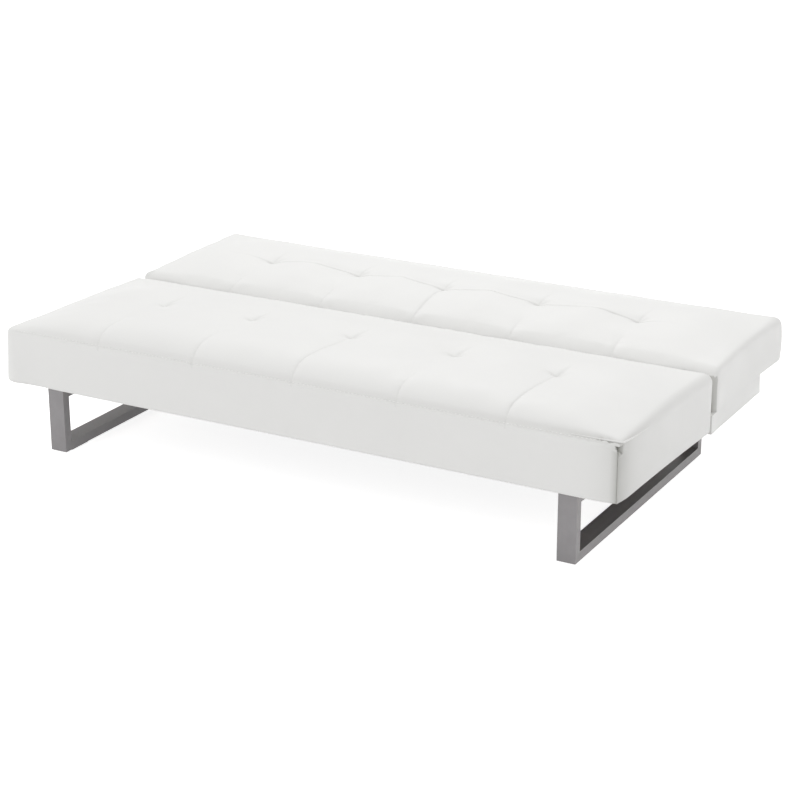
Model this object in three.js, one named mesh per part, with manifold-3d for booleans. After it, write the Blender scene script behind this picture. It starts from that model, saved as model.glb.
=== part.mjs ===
// Click clack sofa bed, folded flat as a bed.
// Millimetres, +Z up, +X along the bed. The seat is in front at -Y, the back is behind it at +Y.
// The origin is on the floor, under the middle of the bed.

import * as THREE from 'three';
import { mergeVertices } from 'three/addons/utils/BufferGeometryUtils.js';
import Module from 'manifold-3d';

const wasm = await Module();
wasm.setup();

// Overall sizes
const bedLength = 1800;
const seatDepth = 606;
const backDepth = 497;
const cushionGap = 25;

// Clearances
const fit = 0.3;
const restClearance = 0.5;
const overrun = 5;

// Height of the legs, and lower edges of the base's rails and of the skirt from the top of the legs
const legHeight = 183;
const railDrop = 8;
const skirtFrontLift = 3;
const skirtRearDrop = 13;

// Height of the bearers on the legs, and of the cushions' edges and padding above the bearers
const bearerHeight = 29.2;
const frontEdgeRise = 127.5;
const gapEdgeRise = 121.5;
const headEdgeRise = 127.5;
const paddingRise = 87.5;

// Leg loops of flat steel tube
const legTubeWidth = 50;
const legTubeThickness = 25;
const legDepth = 828;
const legEndSetback = 113;
const legFrontSetback = 18;
const glideThickness = 2.7;
const glideWidth = 44;
const glideLength = 70;
const glideInset = 30;

// Leg bolts, down through each bearer into its top bar
const boltDiameter = 8;
const boltHeadDiameter = 16;
const boltHeadHeight = 4.5;
const boltHeadRecess = 1;
const boltThreadDepth = 20;
const boltSpacingShare = 0.36;

// Base timber
const baseRailThickness = 22;
const baseFrontSetback = 40;
const baseRearSetback = 160;
const baseEndSetback = 18;
const bearerWidth = 70;
const apronThickness = 16;
const apronCornerRadius = 9;
const apronSeatClearance = 5;
const dustCoverThickness = 1;
const dustCoverEndMargin = 7;
const dustCoverLap = 18;

// Covers, their padding and the frames inside
const frontRoll = 6;
const gapRoll = 40;
const headRoll = 30;
const seatEndRoll = 24;
const backEndRoll = 40;
const seatCrown = 52;
const backCrown = 36;
const coverDrawIn = 6;
const coverWall = 14;
const coverGapWall = 18;
const frameRailThickness = 22;
const frameRailHeight = 41;
const deckThickness = 7;
const liningThickness = 1;
const deckRelief = 190;

// Quilting: a tuft between every two panels, with sewn channels
const panelCount = 6;
const tuftDepth = 14;
const tuftPinchDepth = 8;
const tuftRadius = 110;
const tuftPinchRadius = 20;
const channelDepth = 7;
const channelHalfWidth = 14;
const pillowHeight = 4;
const seatTuftLine = 306;
const backTuftLine = 210;

// Ratchet hinges
const pivotDepth = 31;
const hingePlateThickness = 4;
const hingePlateSpacing = 1;
const eyeRadius = 11;
const pinDiameter = 8;
const pinHeadDiameter = 14;
const pinHeadHeight = 2.5;
const bracketNeckWidth = 20;
const bracketFootWidth = 110;
const bracketFootHeight = 24;
const armFootLength = 102;
const armFootHeight = 24;
const armKneeReach = 60;
const armFootRise = 14;
const toothTipRadius = 22;
const toothDepth = 3;
const toothCount = 7;
const toothedFromAngle = THREE.MathUtils.degToRad(150);
const toothedToAngle = THREE.MathUtils.degToRad(212);
const sectorToAngle = THREE.MathUtils.degToRad(250);
const pawlPivotReach = 46;
const pawlPivotDrop = 22;
const pawlRadius = 6;
const pawlTipRadius = 2.5;
const pawlTipAngle = THREE.MathUtils.degToRad(235);
const pawlLift = 2.5;
const pawlPinDiameter = 5;
const springThickness = 1;
const springLength = 30;
const springContactShare = 0.65;
const hingeSlotClearance = 1;

// Fineness of the round shapes
const rollSteps = 3;
const cornerSteps = 3;
const roundSegments = 20;
const tau = 2 * Math.PI;

// Places worked out from the sizes
const halfLength = bedLength / 2;
const seatFront = -(seatDepth + cushionGap + backDepth) / 2;
const seatRear = seatFront + seatDepth;
const backFront = seatRear + cushionGap;
const backRear = backFront + backDepth;
const railUnderside = legHeight - railDrop;
const skirtFrontHeight = legHeight + skirtFrontLift;
const skirtRearHeight = legHeight - skirtRearDrop;
const baseTop = legHeight + fit + bearerHeight;
const frontEdgeHeight = baseTop + frontEdgeRise;
const gapEdgeHeight = baseTop + gapEdgeRise;
const headEdgeHeight = baseTop + headEdgeRise;
const paddingUnderside = baseTop + paddingRise;
const pivotY = (seatRear + backFront) / 2;
const pivotZ = gapEdgeHeight - pivotDepth;
const frameUnderside = baseTop + restClearance;
const armFootBottom = frameUnderside + armFootRise;
const armFootTop = armFootBottom + armFootHeight;
const deckUnderside = frameUnderside + frameRailHeight + fit;
const foamUnderside = deckUnderside + deckThickness + fit;
const skirtSlope = (skirtFrontHeight - skirtRearHeight) / seatDepth;
const legOuter = halfLength - legEndSetback;
const legInner = legOuter - legTubeWidth;
const legFront = seatFront + legFrontSetback;
const legRear = legFront + legDepth;
const legUnderside = glideThickness + fit;
const baseFront = seatFront + baseFrontSetback;
const baseRear = backRear - baseRearSetback;
const baseEnd = halfLength - baseEndSetback;
const bearerMiddle = (legOuter + legInner) / 2;
const bearerOuter = bearerMiddle + bearerWidth / 2;
const bracketInner = bearerOuter + fit;
const backArmInner = bracketInner + hingePlateThickness + hingePlateSpacing;
const backArmOuter = backArmInner + hingePlateThickness;
const seatArmInner = backArmOuter + hingePlateSpacing;
const seatArmOuter = seatArmInner + hingePlateThickness;

const leatherette = surface(0xf1f0ed, 0.45, 0);
const gunmetal = surface(0x8b898b, 0.35, 0.9);
const blackSteel = surface(0x2c2c2e, 0.45, 0.8);
const zincSteel = surface(0xb4b6b8, 0.3, 0.9);
const timber = surface(0xd3b182, 0.75, 0);
const foamYellow = surface(0xe8dcb8, 0.95, 0);
const blackCloth = surface(0x1f1f20, 0.95, 0);
const blackPlastic = surface(0x1b1b1c, 0.6, 0);

const sofaBed = new THREE.Group();

function surface(color, roughness, metalness) {
  return new THREE.MeshStandardMaterial({ color, roughness, metalness });
}

function addPiece(name, geometry, material) {
  const piece = new THREE.Mesh(geometry, material);
  piece.name = name;
  sofaBed.add(piece);
}

// Each end of the bed has the same pieces; side is -1 at the left end and 1 at the right.
function forBothEnds(build) {
  build('left', -1);
  build('right', 1);
}

function block(x0, x1, y0, y1, z0, z1) {
  const geometry = new THREE.BoxGeometry(Math.abs(x1 - x0), y1 - y0, z1 - z0);
  return geometry.translate((x0 + x1) / 2, (y0 + y1) / 2, (z0 + z1) / 2);
}

// A plate cut to an outline in Y and Z, lying between two places along X.
function plate(outline, x0, x1) {
  const options = { depth: Math.abs(x1 - x0), bevelEnabled: false, curveSegments: roundSegments };
  const geometry = new THREE.ExtrudeGeometry(outline, options);
  const yzx = new THREE.Matrix4().set(0, 0, 1, Math.min(x0, x1), 1, 0, 0, 0, 0, 1, 0, 0, 0, 0, 0, 1);
  return geometry.applyMatrix4(yzx);
}

function rectangle(y0, y1, z0, z1) {
  const corners = [[y0, z0], [y1, z0], [y1, z1], [y0, z1]];
  return new THREE.Shape(corners.map(([y, z]) => new THREE.Vector2(y, z)));
}

function disc(y, z, radius) {
  return new THREE.Shape().absarc(y, z, radius, 0, tau);
}

// A pin along X: a shank between two places, with a head at each end.
function headedPin(x0, x1, y, z, diameter, headDiameter, headHeight) {
  const lower = Math.min(x0, x1);
  const upper = Math.max(x0, x1);
  const head = headDiameter / 2;
  const shank = diameter / 2;
  const profile = [
    [0, lower - headHeight], [head, lower - headHeight], [head, lower], [shank, lower],
    [shank, upper], [head, upper], [head, upper + headHeight], [0, upper + headHeight],
  ];
  const geometry = new THREE.LatheGeometry(profile.map(([r, x]) => new THREE.Vector2(r, x)), roundSegments);
  return geometry.rotateZ(-Math.PI / 2).translate(0, y, z);
}

function uprightRod(x, y, z0, z1, diameter) {
  const geometry = new THREE.CylinderGeometry(diameter / 2, diameter / 2, z1 - z0, roundSegments);
  return geometry.rotateX(Math.PI / 2).translate(x, y, (z0 + z1) / 2);
}

function solid(geometry) {
  const bare = geometry.clone();
  bare.deleteAttribute('normal');
  bare.deleteAttribute('uv');
  const merged = mergeVertices(bare);
  const vertProperties = new Float32Array(merged.attributes.position.array);
  const triVerts = new Uint32Array(merged.index.array);
  return new wasm.Manifold(new wasm.Mesh({ numProp: 3, vertProperties, triVerts }));
}

function geometryOf(body) {
  const mesh = body.getMesh();
  const geometry = new THREE.BufferGeometry();
  geometry.setAttribute('position', new THREE.BufferAttribute(mesh.vertProperties, mesh.numProp));
  geometry.setIndex(new THREE.BufferAttribute(mesh.triVerts, 1));
  return geometry;
}

function cut(geometry, ...cutters) {
  return geometryOf(cutters.reduce((body, cutter) => body.subtract(solid(cutter)), solid(geometry)));
}

function join(...geometries) {
  return geometryOf(geometries.map(solid).reduce((body, other) => body.add(other)));
}

function skirtHeight(y) {
  return skirtFrontHeight - skirtSlope * (y - seatFront);
}

// Quilted covers

const panelLength = bedLength / panelCount;
const seamPlaces = Array.from({ length: panelCount - 1 }, (_, i) => -halfLength + (i + 1) * panelLength);

function hollow(distance, width) {
  return Math.exp(-((distance / width) ** 2));
}

function nearestSeam(x) {
  return Math.min(...seamPlaces.map((seam) => Math.abs(x - seam)));
}

// Grid lines across the seams: one on each seam, one at each side of it, one half way up the tuft.
function gridAcrossSeams(from, to) {
  const offsets = [-tuftRadius / 2, -channelHalfWidth, 0, channelHalfWidth, tuftRadius / 2, panelLength / 2];
  const lines = seamPlaces.flatMap((seam) => offsets.map((offset) => seam + offset));
  return [from, -halfLength + panelLength / 2, ...lines.slice(0, -1), halfLength - panelLength / 2, to];
}

// Grid lines across the tufts, closer together where the crown rises behind the front edge.
function gridAcrossTufts(from, tuftLine, to) {
  const between = (a, b, shares) => shares.map((share) => THREE.MathUtils.lerp(a, b, share));
  const nearTuft = [tuftRadius, tuftRadius / 2, channelHalfWidth];
  const front = nearTuft.map((distance) => tuftLine - distance);
  const behind = nearTuft.map((distance) => tuftLine + distance).reverse();
  const rise = between(from, front[0], [0, 0.14, 0.4]);
  return [...rise, ...front, tuftLine, ...behind, ...between(behind.at(-1), to, [0.5, 1])];
}

// The rim of a cover runs round its grid. Each of its places faces outward at an angle, and its bow
// is 0 at the corners and 1 midway between them.
function rimPlaces(xs, ys) {
  const rim = [];
  const addSide = (places, angle) => {
    const span = places.length - 1;
    places.forEach(([x, y], i) => rim.push({ x, y, angle, bow: 4 * (i / span) * (1 - i / span) }));
    const [cornerX, cornerY] = places[span];
    for (let step = 1; step < cornerSteps; step += 1) {
      const turned = angle + (step / cornerSteps) * (Math.PI / 2);
      rim.push({ x: cornerX, y: cornerY, angle: turned, bow: 0 });
    }
  };
  addSide(xs.map((x) => [x, ys[0]]), -Math.PI / 2);
  addSide(ys.map((y) => [xs.at(-1), y]), 0);
  addSide([...xs].reverse().map((x) => [x, ys.at(-1)]), Math.PI / 2);
  addSide([...ys].reverse().map((y) => [xs[0], y]), Math.PI);
  return rim;
}

// The rings go from the rim over the rolled edge, then down the wall: roll is the angle turned and
// drop is the share of the wall's height.
function wallRings() {
  const rings = [{ roll: Math.PI / 2, drop: 0.5 }, { roll: Math.PI / 2, drop: 1 }];
  for (let i = rollSteps; i >= 0; i -= 1) rings.unshift({ roll: (i / rollSteps) * (Math.PI / 2), drop: 0 });
  return rings;
}

// A padded cover: a crowned top over a grid, rolled edges, and walls drawn in between the corners.
// channel(x, y) is the depth of the sewn channels there, which runs on over the rolled edge.
function paddedCover({ front, rear, frontRadius, rearRadius, endRadius, tuftLine, top, channel, underside }) {
  const xs = gridAcrossSeams(-halfLength + endRadius, halfLength - endRadius);
  const ys = gridAcrossTufts(front + frontRadius, tuftLine, rear - rearRadius);
  const weld = fit / 10;
  const corners = [];
  const triangle = (a, b, c) => {
    const flat = a.distanceTo(b) < weld || b.distanceTo(c) < weld || c.distanceTo(a) < weld;
    if (!flat) corners.push(...a, ...b, ...c);
  };
  const quad = (a, b, c, d) => {
    triangle(a, b, c);
    triangle(a, c, d);
  };

  const topPoint = (i, j) => new THREE.Vector3(xs[i], ys[j], top(xs[i], ys[j]) - channel(xs[i], ys[j]));
  for (let i = 0; i + 1 < xs.length; i += 1) {
    for (let j = 0; j + 1 < ys.length; j += 1) {
      quad(topPoint(i, j), topPoint(i + 1, j), topPoint(i + 1, j + 1), topPoint(i, j + 1));
    }
  }

  const wallPoint = ({ x, y, angle, bow }, { roll, drop }) => {
    const sideRadius = y === ys[0] ? frontRadius : rearRadius;
    const outX = Math.cos(angle);
    const outY = Math.sin(angle);
    const rollHeight = endRadius * outX ** 2 + sideRadius * outY ** 2;
    const pinch = channel(x, y) * Math.sin(roll) * (1 - drop);
    const drawnIn = (coverDrawIn * bow * Math.sin(roll) * (1 + Math.sin(drop * Math.PI))) / 2;
    const px = x + outX * (endRadius * Math.sin(roll) - drawnIn - pinch);
    const py = y + outY * (sideRadius * Math.sin(roll) - drawnIn - pinch);
    const rolled = top(x, y) - channel(x, y) * Math.cos(roll) - rollHeight * (1 - Math.cos(roll));
    return new THREE.Vector3(px, py, THREE.MathUtils.lerp(rolled, underside(py), drop));
  };
  const middleY = (front + rear) / 2;
  const middle = new THREE.Vector3(0, middleY, underside(middleY));
  const rings = wallRings();
  const rim = rimPlaces(xs, ys);
  rim.forEach((place, i) => {
    const next = rim[(i + 1) % rim.length];
    for (let k = 0; k + 1 < rings.length; k += 1) {
      const [ring, lower] = rings.slice(k, k + 2);
      quad(wallPoint(place, ring), wallPoint(place, lower), wallPoint(next, lower), wallPoint(next, ring));
    }
    triangle(wallPoint(place, rings.at(-1)), middle, wallPoint(next, rings.at(-1)));
  });

  const geometry = new THREE.BufferGeometry();
  geometry.setAttribute('position', new THREE.Float32BufferAttribute(corners, 3));
  return mergeVertices(geometry, weld);
}

function tuft(x, y, tuftLine) {
  const distance = Math.hypot(nearestSeam(x), y - tuftLine);
  return tuftDepth * hollow(distance, tuftRadius) + tuftPinchDepth * hollow(distance, tuftPinchRadius);
}

// How a crown rises, by the distance from the cushion's middle as a share of half its depth: at
// once behind a sewn edge, sooner or later behind a rolled one.
const steepRise = (share) => 1 - share ** 6;
const roundRise = (share) => (1 - share ** 3) ** 2;
const gentleRise = (share) => (1 - share ** 2) ** 2;

// A cover's top before its channels are sewn: sloping from edge to edge, crowned, with a pillow in
// each panel and a tuft between every two.
function tuftedTop({ front, rear, frontHeight, rearHeight, frontRise, rearRise, crown, tuftLine }) {
  return (x, y) => {
    const along = (y - front) / (rear - front);
    const across = 2 * along - 1;
    const rise = across < 0 ? frontRise(-across) : rearRise(across);
    const dome = crown * (1 - (x / halfLength) ** 4) * rise;
    const panelWave = Math.abs(Math.sin((Math.PI * (x + halfLength)) / panelLength));
    const pillow = pillowHeight * panelWave * (1 - across ** 2);
    return THREE.MathUtils.lerp(frontHeight, rearHeight, along) + dome + pillow - tuft(x, y, tuftLine);
  };
}

const seatTuftY = seatFront + seatTuftLine;
const backTuftY = backFront + backTuftLine;

// On the seat each channel runs from the front edge to its tuft and fades on the way.
function seatChannel(x, y) {
  const along = THREE.MathUtils.clamp((seatTuftY - y) / (seatTuftY - seatFront), 0, 1);
  return channelDepth * hollow(nearestSeam(x), channelHalfWidth) * along;
}

// On the back one channel joins the tufts lengthwise, and shorter ones run from them to the gap.
function backChannel(x, y) {
  const along = THREE.MathUtils.clamp((backTuftY - y) / (backTuftY - backFront), 0, 1);
  const crosswise = hollow(nearestSeam(x), channelHalfWidth) * along;
  const lengthwise = (hollow(y - backTuftY, channelHalfWidth) * (1 - (x / halfLength) ** 4)) / 2;
  return channelDepth * Math.max(crosswise, lengthwise);
}

const slotInner = backArmInner - hingeSlotClearance;
const seatSlotOuter = seatArmOuter + hingeSlotClearance;
const backSlotOuter = backArmOuter + hingeSlotClearance;
const slotTop = pivotZ + eyeRadius + hingeSlotClearance;
const belowEverything = Math.min(skirtRearHeight, skirtFrontHeight) - overrun;

function hingeSlot(side, outer, y0, y1) {
  return block(side * slotInner, side * outer, y0, y1, belowEverything, slotTop);
}

function seatCover() {
  const shape = {
    front: seatFront,
    rear: seatRear,
    frontHeight: frontEdgeHeight,
    rearHeight: gapEdgeHeight,
    frontRise: steepRise,
    rearRise: gentleRise,
    frontRadius: frontRoll,
    rearRadius: gapRoll,
    endRadius: seatEndRoll,
    crown: seatCrown,
    tuftLine: seatTuftY,
    channel: seatChannel,
    underside: skirtHeight,
  };
  const padded = paddedCover({ ...shape, top: tuftedTop(shape) });
  const inside = halfLength - coverWall;
  const insideFront = seatFront + coverWall;
  const insideRear = seatRear - coverGapWall;
  const behind = seatRear + overrun;
  const cavity = block(-inside, inside, insideFront, insideRear, belowEverything, paddingUnderside);
  const baseWay = block(-inside, inside, insideFront, behind, belowEverything, frameUnderside);
  const slots = [-1, 1].map((side) => hingeSlot(side, seatSlotOuter, insideRear - overrun, behind));
  return cut(padded, join(cavity, baseWay, ...slots));
}

function backCover() {
  const shape = {
    front: backFront,
    rear: backRear,
    frontHeight: gapEdgeHeight,
    rearHeight: headEdgeHeight,
    frontRise: roundRise,
    rearRise: gentleRise,
    frontRadius: gapRoll,
    rearRadius: headRoll,
    endRadius: backEndRoll,
    crown: backCrown,
    tuftLine: backTuftY,
    channel: backChannel,
    underside: () => frameUnderside,
  };
  const padded = paddedCover({ ...shape, top: tuftedTop(shape) });
  const inside = halfLength - coverGapWall;
  const insideFront = backFront + coverGapWall;
  const cavity = block(-inside, inside, insideFront, backRear - coverWall, belowEverything, paddingUnderside);
  const slotSpan = [backFront - overrun, insideFront + overrun];
  const slots = [-1, 1].map((side) => hingeSlot(side, backSlotOuter, ...slotSpan));
  return cut(padded, join(cavity, ...slots));
}

addPiece('seat_cover', seatCover(), leatherette);
addPiece('back_cover', backCover(), leatherette);

// Frame, deck and foam inside a cover. gapSign is -1 for the seat, which lies in front of the
// hinges, and 1 for the back, which lies behind them.
function upholsteryFrame(name, gapSign, { gapEdge, farEdge, end, underside, hingeRailInner }) {
  const reach = (distance) => gapEdge + gapSign * distance;
  const ordered = (a, b) => [Math.min(a, b), Math.max(a, b)];
  const depth = Math.abs(farEdge - gapEdge);
  const railTop = frameUnderside + frameRailHeight;
  const gapRailSpan = ordered(gapEdge, reach(frameRailThickness));
  const farRailSpan = ordered(farEdge, reach(depth - frameRailThickness));
  const betweenSpan = ordered(reach(frameRailThickness + fit), reach(depth - frameRailThickness - fit));
  const fullSpan = ordered(gapEdge, farEdge);

  const reliefSpan = ordered(reach(-overrun), reach(deckRelief));
  const reliefs = [-1, 1].map((side) => {
    const ends = [side * (slotInner - fit), side * (seatSlotOuter + fit)];
    return block(...ends, ...reliefSpan, deckUnderside - overrun, paddingUnderside + overrun);
  });
  const notchSpan = ordered(reach(-overrun), reach(frameRailThickness + overrun));
  const notches = [-1, 1].map((side) => {
    const ends = [side * slotInner, side * seatSlotOuter];
    return block(...ends, ...notchSpan, armFootBottom - restClearance, railTop + overrun);
  });

  const rail = (x0, x1, span) => block(x0, x1, ...span, underside, railTop);
  addPiece(`${name}_frame_hinge_side_rail`, cut(rail(-end, end, gapRailSpan), ...notches), timber);
  addPiece(`${name}_frame_far_rail`, rail(-end, end, farRailSpan), timber);
  forBothEnds((label, side) => {
    const endRail = rail(side * (end - frameRailThickness), side * end, betweenSpan);
    const hingeRailOuter = hingeRailInner + frameRailThickness;
    const hingeRail = rail(side * hingeRailInner, side * hingeRailOuter, betweenSpan);
    addPiece(`${name}_frame_${label}_end_rail`, endRail, timber);
    addPiece(`${name}_frame_${label}_hinge_rail`, hingeRail, timber);
  });
  const deck = block(-end, end, ...fullSpan, deckUnderside, deckUnderside + deckThickness);
  addPiece(`${name}_deck`, cut(deck, ...reliefs), timber);
  const foam = block(-end, end, ...fullSpan, foamUnderside, paddingUnderside - fit);
  addPiece(`${name}_foam`, cut(foam, ...reliefs), foamYellow);
}

upholsteryFrame('seat', -1, {
  gapEdge: seatRear - coverGapWall - fit,
  farEdge: seatFront + coverWall + fit,
  end: halfLength - coverWall - fit,
  underside: frameUnderside,
  hingeRailInner: seatArmOuter + fit,
});
upholsteryFrame('back', 1, {
  gapEdge: backFront + coverGapWall + fit,
  farEdge: backRear - coverWall - fit,
  end: halfLength - coverGapWall - fit,
  underside: frameUnderside + liningThickness + fit,
  hingeRailInner: backArmInner - fit - frameRailThickness,
});

// Lining stapled over the open underside of the back
const liningEnd = halfLength - coverGapWall - fit;
const liningSpan = [backFront + coverGapWall + fit, backRear - coverWall - fit];
const lining = block(-liningEnd, liningEnd, ...liningSpan, frameUnderside, frameUnderside + liningThickness);
addPiece('back_lining', lining, blackCloth);

// Base timber, standing on the top bars of the legs

const betweenRails = [baseFront + baseRailThickness + fit, baseRear - baseRailThickness - fit];
const boltPlaces = [-1, 1].map((sign) => legFront + legDepth / 2 + sign * boltSpacingShare * legDepth);
const boltHeadTop = baseTop - boltHeadRecess;
const boltHeadSeat = boltHeadTop - boltHeadHeight;
const boltTip = legHeight - boltThreadDepth;

function legBarNotch(side) {
  const ends = [side * (legInner - fit), side * (legOuter + fit)];
  const span = [baseFront - overrun, baseFront + baseRailThickness + overrun];
  return block(...ends, ...span, railUnderside - overrun, legHeight + fit);
}

function boltHoles(side) {
  const x = side * bearerMiddle;
  const top = baseTop + overrun;
  return boltPlaces.map((y) => {
    const shankHole = uprightRod(x, y, boltTip - fit, top, boltDiameter + 2 * fit);
    return join(shankHole, uprightRod(x, y, boltHeadSeat - fit, top, boltHeadDiameter + 2 * fit));
  });
}

const frontRail = block(-baseEnd, baseEnd, baseFront, baseFront + baseRailThickness, railUnderside, baseTop);
addPiece('base_front_rail', cut(frontRail, legBarNotch(-1), legBarNotch(1)), timber);
const rearRail = block(-baseEnd, baseEnd, baseRear - baseRailThickness, baseRear, railUnderside, baseTop);
addPiece('base_rear_rail', rearRail, timber);
forBothEnds((label, side) => {
  const ends = [side * (baseEnd - baseRailThickness), side * baseEnd];
  const rail = block(...ends, ...betweenRails, railUnderside, baseTop);
  addPiece(`base_${label}_rail`, rail, timber);
  const inner = side * (bearerOuter - bearerWidth);
  const bearer = block(inner, side * bearerOuter, ...betweenRails, legHeight + fit, baseTop);
  addPiece(`base_${label}_leg_bearer`, cut(bearer, ...boltHoles(side)), timber);
});

// Padded aprons round the part of the base that the seat doesn't cover. Their lower edge carries
// on the line of the seat's skirt.
function slopeUnderside(geometry) {
  const places = geometry.attributes.position;
  for (let i = 0; i < places.count; i += 1) {
    if (places.getZ(i) < railUnderside) places.setZ(i, skirtHeight(places.getY(i)));
  }
  return geometry;
}

function rearApron() {
  const r = apronCornerRadius;
  const outer = baseRear + fit + apronThickness;
  const outline = new THREE.Shape();
  outline.moveTo(-halfLength, baseRear + fit);
  outline.lineTo(halfLength, baseRear + fit);
  outline.absarc(halfLength - r, outer - r, r, 0, Math.PI / 2);
  outline.absarc(-halfLength + r, outer - r, r, Math.PI / 2, Math.PI);
  const options = { depth: baseTop - skirtRearHeight, bevelEnabled: false, curveSegments: cornerSteps };
  const geometry = new THREE.ExtrudeGeometry(outline, options);
  return slopeUnderside(geometry.translate(0, 0, skirtRearHeight));
}

addPiece('base_rear_apron', rearApron(), leatherette);
forBothEnds((label, side) => {
  const front = seatRear + apronSeatClearance;
  const apron = block(side * (baseEnd + fit), side * halfLength, front, baseRear, skirtRearHeight, baseTop);
  addPiece(`base_${label}_apron`, slopeUnderside(apron), leatherette);
});

const clothEnd = legInner - dustCoverEndMargin;
const clothFront = betweenRails[0] - dustCoverLap;
const clothRear = betweenRails[1] + dustCoverLap;
const clothTop = railUnderside - fit;
const cloth = block(-clothEnd, clothEnd, clothFront, clothRear, clothTop - dustCoverThickness, clothTop);
addPiece('base_dust_cover', cloth, blackCloth);

// Legs

function legLoop(side) {
  const loop = rectangle(legFront, legRear, legUnderside, legHeight);
  const t = legTubeThickness;
  loop.holes.push(rectangle(legFront + t, legRear - t, legUnderside + t, legHeight - t));
  return cut(plate(loop, side * legInner, side * legOuter), ...boltHoles(side));
}

function legBolt(side, y) {
  const x = side * bearerMiddle;
  const head = uprightRod(x, y, boltHeadSeat, boltHeadTop, boltHeadDiameter);
  return join(head, uprightRod(x, y, boltTip, boltHeadTop, boltDiameter));
}

forBothEnds((label, side) => {
  addPiece(`${label}_leg_loop`, legLoop(side), gunmetal);
  ['front', 'rear'].forEach((place, i) => {
    addPiece(`${label}_leg_${place}_bolt`, legBolt(side, boltPlaces[i]), zincSteel);
    const glideFront = i === 0 ? legFront + glideInset : legRear - glideInset - glideLength;
    const x0 = side * (bearerMiddle - glideWidth / 2);
    const x1 = side * (bearerMiddle + glideWidth / 2);
    const glide = block(x0, x1, glideFront, glideFront + glideLength, 0, glideThickness);
    addPiece(`${label}_leg_${place}_glide`, glide, blackPlastic);
  });
});

// Ratchet hinges: a bracket on the base, an arm to the seat and a toothed arm to the back share one
// pivot pin. A pawl on the seat's arm drops into the teeth.

const pinHole = disc(pivotY, pivotZ, pinDiameter / 2 + fit);

function pointAt(y, z) {
  return new THREE.Vector2(pivotY + y, z);
}

function polar(radius, angle) {
  return new THREE.Vector2(pivotY + radius * Math.cos(angle), pivotZ + radius * Math.sin(angle));
}

function arc(radius, from, to) {
  const steps = Math.max(1, Math.ceil((roundSegments * Math.abs(to - from)) / tau));
  return Array.from({ length: steps + 1 }, (_, i) => polar(radius, from + (i / steps) * (to - from)));
}

function pierced(points, ...holes) {
  const outline = new THREE.Shape(points);
  outline.holes.push(...holes);
  return outline;
}

function bracketOutline() {
  const half = bracketNeckWidth / 2;
  const foot = bracketFootWidth / 2;
  const footTop = baseTop - restClearance;
  const footBottom = footTop - bracketFootHeight;
  const footPoints = [pointAt(-half, footTop), pointAt(-foot, footTop), pointAt(-foot, footBottom)];
  const otherFoot = [pointAt(foot, footBottom), pointAt(foot, footTop), pointAt(half, footTop)];
  return pierced([...arc(half, 0, Math.PI), ...footPoints, ...otherFoot], pinHole);
}

const pawlPivot = pointAt(-pawlPivotReach, pivotZ - pawlPivotDrop);
const pawlTip = polar(toothTipRadius + restClearance + pawlTipRadius + pawlLift, pawlTipAngle);
const pawlHole = () => disc(pawlPivot.x, pawlPivot.y, pawlPinDiameter / 2 + fit);

function seatArmOutline() {
  const foot = [
    pointAt(-armKneeReach, armFootTop),
    pointAt(-armKneeReach - armFootLength, armFootTop),
    pointAt(-armKneeReach - armFootLength, armFootBottom),
    pointAt(-armKneeReach / 2, armFootBottom),
  ];
  const shoulder = pointAt(-armKneeReach, pivotZ - pawlPivotDrop + pawlRadius);
  return pierced([...arc(eyeRadius, -Math.PI / 3, Math.PI / 2), shoulder, ...foot], pinHole, pawlHole());
}

function backArmOutline() {
  const toothPitch = (toothedToAngle - toothedFromAngle) / toothCount;
  const teeth = Array.from({ length: toothCount }, (_, i) => [
    polar(toothTipRadius, toothedFromAngle + i * toothPitch),
    polar(toothTipRadius - toothDepth, toothedFromAngle + i * toothPitch + toothPitch / 4),
  ]).flat();
  const foot = [
    pointAt(armKneeReach / 2, armFootBottom),
    pointAt(armKneeReach + armFootLength, armFootBottom),
    pointAt(armKneeReach + armFootLength, armFootTop),
    pointAt(armKneeReach, armFootTop),
    pointAt(armKneeReach, pivotZ - pawlPivotDrop + pawlRadius),
  ];
  const eye = arc(eyeRadius, Math.PI / 2, toothedFromAngle);
  const holdOff = arc(toothTipRadius, toothedToAngle, sectorToAngle);
  return pierced([...foot, ...eye, ...teeth, ...holdOff], pinHole);
}

// A bar between two places, rounded at each end, narrowing from one radius to the other.
function taperedBar(from, to, fromRadius, toRadius) {
  const angle = Math.atan2(to.y - from.y, to.x - from.x);
  const outline = new THREE.Shape();
  outline.absarc(from.x, from.y, fromRadius, angle + Math.PI / 2, angle + 1.5 * Math.PI);
  outline.absarc(to.x, to.y, toRadius, angle - Math.PI / 2, angle + Math.PI / 2);
  return outline;
}

function pawlOutline() {
  const outline = taperedBar(pawlPivot, pawlTip, pawlRadius, pawlTipRadius);
  outline.holes.push(pawlHole());
  return outline;
}

// A leaf spring under the pawl, which pushes its tip up towards the teeth.
function springOutline() {
  const belowPawl = (pawlRadius + pawlTipRadius) / 2 + restClearance + springThickness;
  const contact = pawlPivot.clone().lerp(pawlTip, springContactShare);
  contact.y -= belowPawl;
  const root = contact.clone().add(new THREE.Vector2(-springLength, -springLength / 2));
  return taperedBar(root, contact, springThickness / 2, springThickness / 2);
}

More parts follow.
